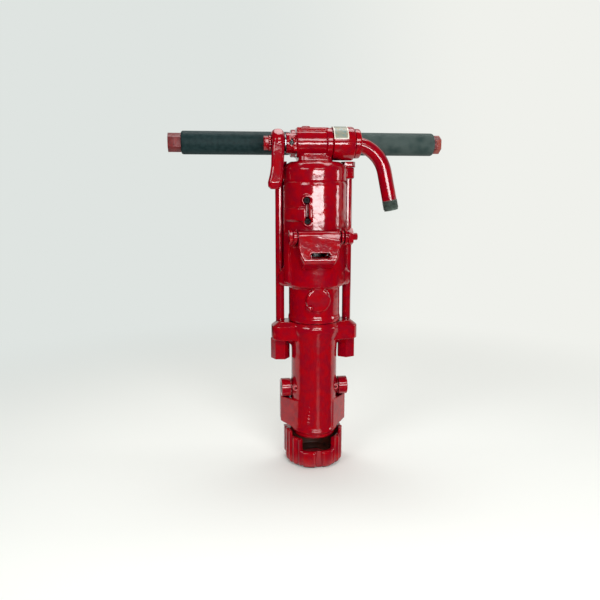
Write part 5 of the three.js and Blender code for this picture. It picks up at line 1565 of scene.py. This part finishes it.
@dataclass
class Handle(Assembly):
    """Handle bar: through bolt, nut, steel tubes and two rubber grips."""

    back: float = 62.0
    z: float = 564.5
    left: float = -223.5
    right: float = 226.5
    boss_left: float = -34.3
    boss_right: float = 38.3
    grip: float = 20.0
    tube: float = 14.0
    hex_radius: float = 16.3
    nut_length: float = 22.5
    head_length: float = 13.0
    bolt: float = 9.5

    def build(self) -> None:
        """Builds the grips, the nut and the bolt's head."""
        at = (0, self.back, self.z)
        r, bore = self.grip, self.tube + 0.3
        # The left grip takes the plain dark rubber; the right grip takes its paler copy as painted light.
        for side, low, high, rubber in ((Side.LEFT, self.left, self.boss_left, GRIP_RUBBER),
                                        (Side.RIGHT, self.boss_right, self.right, GRIP_RUBBER_LIT_AND_CHALKED)):
            grip = Stock().turned([
                (bore, low), (r - 3.2, low), (r - 1.2, low + 0.8), (r - 0.2, low + 2.6), (r, low + 5),
                (r, high - 5), (r - 0.2, high - 2.6), (r - 1.2, high - 0.8), (r - 3.2, high),
                (bore, high),
            ], Lie.ACROSS, at, count=72)
            self.shop.piece(grip, f"grip_{side.word}", "sleeve", rubber)
        low = self.left - 0.3
        nut = Stock().hexagon(self.hex_radius, low, low - self.nut_length, Lie.ACROSS, at, turn=math.pi / 6,
                              chamfer=2.6, bevel=0.6)
        cut = Stock().rod(self.bolt + 0.3, low - self.nut_length - 3, low + 3, Lie.ACROSS, at, count=40)
        self.shop.piece(nut.bored(cut), "handle_nut", "hexagon", HANDLE_PAINT)
        high = self.right + 0.3
        bolt = Stock().hexagon(self.hex_radius, high, high + self.head_length, Lie.ACROSS, at,
                               turn=math.pi / 6,
                               chamfer=2.6, bevel=0.6)
        bolt.rod(self.bolt, low - self.nut_length + 4, high + 2, Lie.ACROSS, at, count=40, bevel=0.8)
        self.shop.piece(bolt, "handle_bolt", "through", HANDLE_PAINT)


@dataclass
class Internals(Assembly):
    """Working parts inside, which keep their solids."""

    dark: tuple[str, ...] = ("chuck", "chuck_nut", "ratchet_ring", "valve_chest", "air_strainer",
                             "handle_tube_left", "handle_tube_right", "detent_spring")
    bright: tuple[str, ...] = ("chuck_insert", "piston_hammer", "rifle_bar", "distributing_valve",
                               "detent_plunger", "throttle_valve", "pawl_1", "pawl_2", "pawl_3", "pawl_4")
    bronze: tuple[str, ...] = ("chuck_sleeve", "stem_sleeve", "rifle_nut")
    rubber: tuple[str, ...] = ("inlet_seal",)

    def build(self) -> None:
        """Dresses each part."""
        for names, finish in ((self.dark, DARK_STEEL), (self.bright, BRIGHT_STEEL), (self.bronze, BRONZE),
                              (self.rubber, SEAL_RUBBER)):
            for name in names:
                self.shop.dress_node(name, finish)


@dataclass
class Studio:
    """Plain pale floor, soft lights and the camera."""

    camera_at: Point = (-0.1785, -1.0923, 0.4885)
    look_at: Point = (-0.025, 0.0, 0.294)
    lens: float = 38.4
    sensor: float = 36.0
    backdrop: Point = (223, 228, 225)
    backdrop_right: Point = (240, 241, 236)
    floor_tone: Point = (251, 252, 248)
    floor_roughness: float = 0.9
    floor_specular: float = 0.1
    front_turn: float = -0.9
    front_band: Pair = (-0.85, -0.4)
    world_lit: Point = (0.5, 0.35, 0.95)
    floor_lit: Point = (0.0, -0.12, 0.03)
    fill: float = 0.32
    dim: float = 0.03
    floor_radius: float = 9.0
    floor_near: float = 0.3
    floor_far: float = 1.3
    foot: Pair = (0.06, 0.1)
    stripe_x: float = 0.2
    stripe_edge: Pair = (0.08, 0.16)
    stripe_end: Pair = (0.3, 0.85)
    stripe_power: float = 0.8
    dark_from: Pair = (0.7, 1.1)
    dark_side: Pair = (-0.1, 0.1)
    dark_right: float = 1.1
    lamps: tuple[Lamp, ...] = (
        ("low_strip", (0.13, -1.64, 0.448), (0, 0, 0.448), (1.15, 0.236), 14.5),
        ("front_panel", (0.24, -1.62, 1.34), (0, 0, 0.5), (1.0, 0.42), 10.5),
        ("top_panel", (0.1, 0.45, 1.9), (0, 0, 0.4), (1.6, 0.7), 16),
        ("right_panel", (1.75, -0.25, 0.49), (0, 0, 0.46), (0.3, 0.3), 2.6),
        ("left_panel", (-1.3, -1.25, 1.3), (0, 0, 0.35), (0.85, 0.45), 9),
    )

    @staticmethod
    def _aimed(name: str, data: bpy.types.ID, at: Point, look: Point) -> bpy.types.Object:
        """Hangs a lamp or a camera.

        Args:
            name: its name.
            data: the lamp or camera.
            at: where it hangs.
            look: the point it faces.

        Returns:
            Its object.
        """
        made = placed(name, data)
        made.location = at
        made.rotation_euler = (Vector(look) - Vector(at)).to_track_quat("-Z", "Y").to_euler()
        return made

    def _light(self, name: str, at: Point, look: Point, size: Pair, power: float) -> None:
        """Hangs one soft rectangular lamp.

        Args:
            name: its name.
            at: where it hangs.
            look: the point it faces.
            size: width and height.
            power: strength in watts.
        """
        lamp = bpy.data.lights.new(name, "AREA")
        lamp.shape, lamp.energy = "RECTANGLE", power
        lamp.size, lamp.size_y = size
        self._aimed(name, lamp, at, look).visible_camera = False

    def _shown(self, nodes: Nodes, way: Socket, aside: float, start: float,
               end: float) -> tuple[Socket, Socket]:
        """Colour and strength of the backdrop for each kind of ray.

        The backdrop is brighter on the right, and mirror rays find the front of the studio dim.

        Args:
            nodes: the tree's node adder.
            way: a socket with the direction, of length 1.
            aside: how much a direction to the right counts as one behind.
            start: how far behind mirror rays begin to find it lit.
            end: how far behind they find it fully lit.

        Returns:
            Sockets with the colour and the strength.
        """
        axes = nodes.add("SeparateXYZ", {0: way}).outputs
        front = nodes.maths("MULTIPLY_ADD", axes["Y"], self.front_turn, axes["X"])
        tone = nodes.mix(nodes.ramp(front, *self.front_band), colour(*self.backdrop),
                         colour(*self.backdrop_right))
        rays = nodes.add("LightPath").outputs
        mirror = nodes.maths("MAXIMUM", rays["Is Glossy Ray"], rays["Is Transmission Ray"])
        lit = nodes.maths("MULTIPLY_ADD", axes["X"], aside, axes["Y"])
        seen = nodes.maths("MULTIPLY", mirror, nodes.ramp(lit, start, end, self.dim))
        shown = nodes.maths("MAXIMUM", seen, rays["Is Camera Ray"])
        direct = nodes.maths("MAXIMUM", mirror, rays["Is Camera Ray"])
        rest = nodes.ramp(direct, 0.0, 1.0, self.fill, 0.0, smooth=False)
        return tone, nodes.maths("ADD", shown, rest)

    def _world(self) -> None:
        """Sets a pale world."""
        world = bpy.data.worlds.new("studio")
        world.use_nodes = True
        bpy.context.scene.world = world
        nodes = Nodes(world.node_tree)
        tone, strength = self._shown(nodes, nodes.add("TexCoord").outputs["Generated"], *self.world_lit)
        nodes.fill(world.node_tree.nodes["Background"], {"Color": tone, "Strength": strength})

    def _stripe(self, nodes: Nodes, way: Socket, reach: Socket) -> Socket:
        """Strength of a pale stripe that mirror rays find on the floor ahead.

        Args:
            nodes: the tree's node adder.
            way: a socket with the direction, of length 1.
            reach: a socket with the distance from the middle.

        Returns:
            A socket with the strength.
        """
        axes = nodes.add("SeparateXYZ", {0: way}).outputs
        off = nodes.maths("ABSOLUTE", nodes.maths("SUBTRACT", axes["X"], self.stripe_x))
        across = nodes.ramp(off, *self.stripe_edge, self.stripe_power, 0.0)
        along = nodes.ramp(reach, *self.stripe_end, 1.0, 0.0)
        ahead = nodes.maths("LESS_THAN", axes["Y"], 0.0)
        return nodes.maths("MULTIPLY", nodes.maths("MULTIPLY", across, along), ahead)

    def _kept(self, nodes: Nodes, way: Socket, reach: Socket, mirror: Socket) -> Socket:
        """Share of the floor's glow that is kept: mirror rays find it dark far out, first on the left.

        Args:
            nodes: the tree's node adder.
            way: a socket with the direction, of length 1.
            reach: a socket with the distance from the middle.
            mirror: a socket that is 1 for mirror rays.

        Returns:
            A socket with the share.
        """
        side = nodes.add("SeparateXYZ", {0: way}).outputs["X"]
        right = nodes.ramp(side, *self.dark_side, 0.0, self.dark_right, smooth=False)
        drawn = nodes.maths("SUBTRACT", reach, right)
        lit = nodes.ramp(drawn, *self.dark_from, 1.0, 0.0, smooth=False)
        return nodes.maths("MAXIMUM", lit, nodes.maths("SUBTRACT", 1.0, mirror))

    def _floor(self) -> None:
        """Lays a pale floor that runs into the backdrop far out."""
        part = bmesh.new()
        bmesh.ops.create_circle(part, cap_ends=True, segments=96, radius=self.floor_radius)
        mesh = bpy.data.meshes.new("floor")
        part.to_mesh(mesh)
        part.free()
        floor = placed("floor", mesh)
        made = bpy.data.materials.new("studio_floor")
        made.use_nodes = True
        nodes = Nodes(made.node_tree)
        matt = made.node_tree.nodes["Principled BSDF"]
        nodes.fill(matt, {"Base Color": colour(*self.floor_tone), "Roughness": self.floor_roughness,
                          "Specular IOR Level": self.floor_specular})
        place = nodes.add("TexCoord").outputs["Object"]
        reach = nodes.add("VectorMath", {0: place}, operation="LENGTH").outputs["Value"]
        way = nodes.add("VectorMath", {0: place}, operation="NORMALIZE").outputs["Vector"]
        tone, strength = self._shown(nodes, way, *self.floor_lit)
        mirror = nodes.add("LightPath").outputs["Is Glossy Ray"]
        stripe = nodes.maths("MULTIPLY", self._stripe(nodes, way, reach), mirror)
        kept = nodes.maths("MULTIPLY", strength, self._kept(nodes, way, reach, mirror))
        glow = nodes.add("Emission", {"Color": tone, "Strength": nodes.maths("ADD", kept, stripe)})
        turned = nodes.maths("MULTIPLY", nodes.ramp(reach, *self.foot), mirror)
        share = nodes.maths("MAXIMUM", nodes.ramp(reach, self.floor_near, self.floor_far), turned)
        mixed = nodes.add("MixShader", {0: share, 1: matt.outputs[0], 2: glow.outputs[0]})
        nodes.fill(made.node_tree.nodes["Material Output"], {"Surface": mixed.outputs[0]})
        mesh.materials.append(made)

    def build(self) -> None:
        """Sets up the floor, world, lamps, camera and colour view."""
        self._world()
        self._floor()
        for lamp in self.lamps:
            self._light(*lamp)
        camera = bpy.data.cameras.new("camera")
        camera.lens, camera.sensor_width, camera.sensor_fit = self.lens, self.sensor, "HORIZONTAL"
        bpy.context.scene.camera = self._aimed("camera", camera, self.camera_at, self.look_at)
        bpy.context.scene.view_settings.view_transform = "Standard"


def main() -> None:
    """Builds the studio and every sub-assembly in order, and logs how many pieces were made."""
    logging.basicConfig(level=logging.INFO, format="%(message)s")
    Studio().build()
    shop = Shop()
    rods = SideRods(shop)
    for assembly in (rods, Fronthead(shop, rods), Retainer(shop), Cylinder(shop, rods),
                     ExhaustDeflector(shop), Backhead(shop, rods), ThrottleLever(shop),
                     AirInlet(shop), Handle(shop), Internals(shop)):
        assembly.build()
    log.info("%d pieces made", len(shop.pieces))


if __name__ == "__main__":
    main()
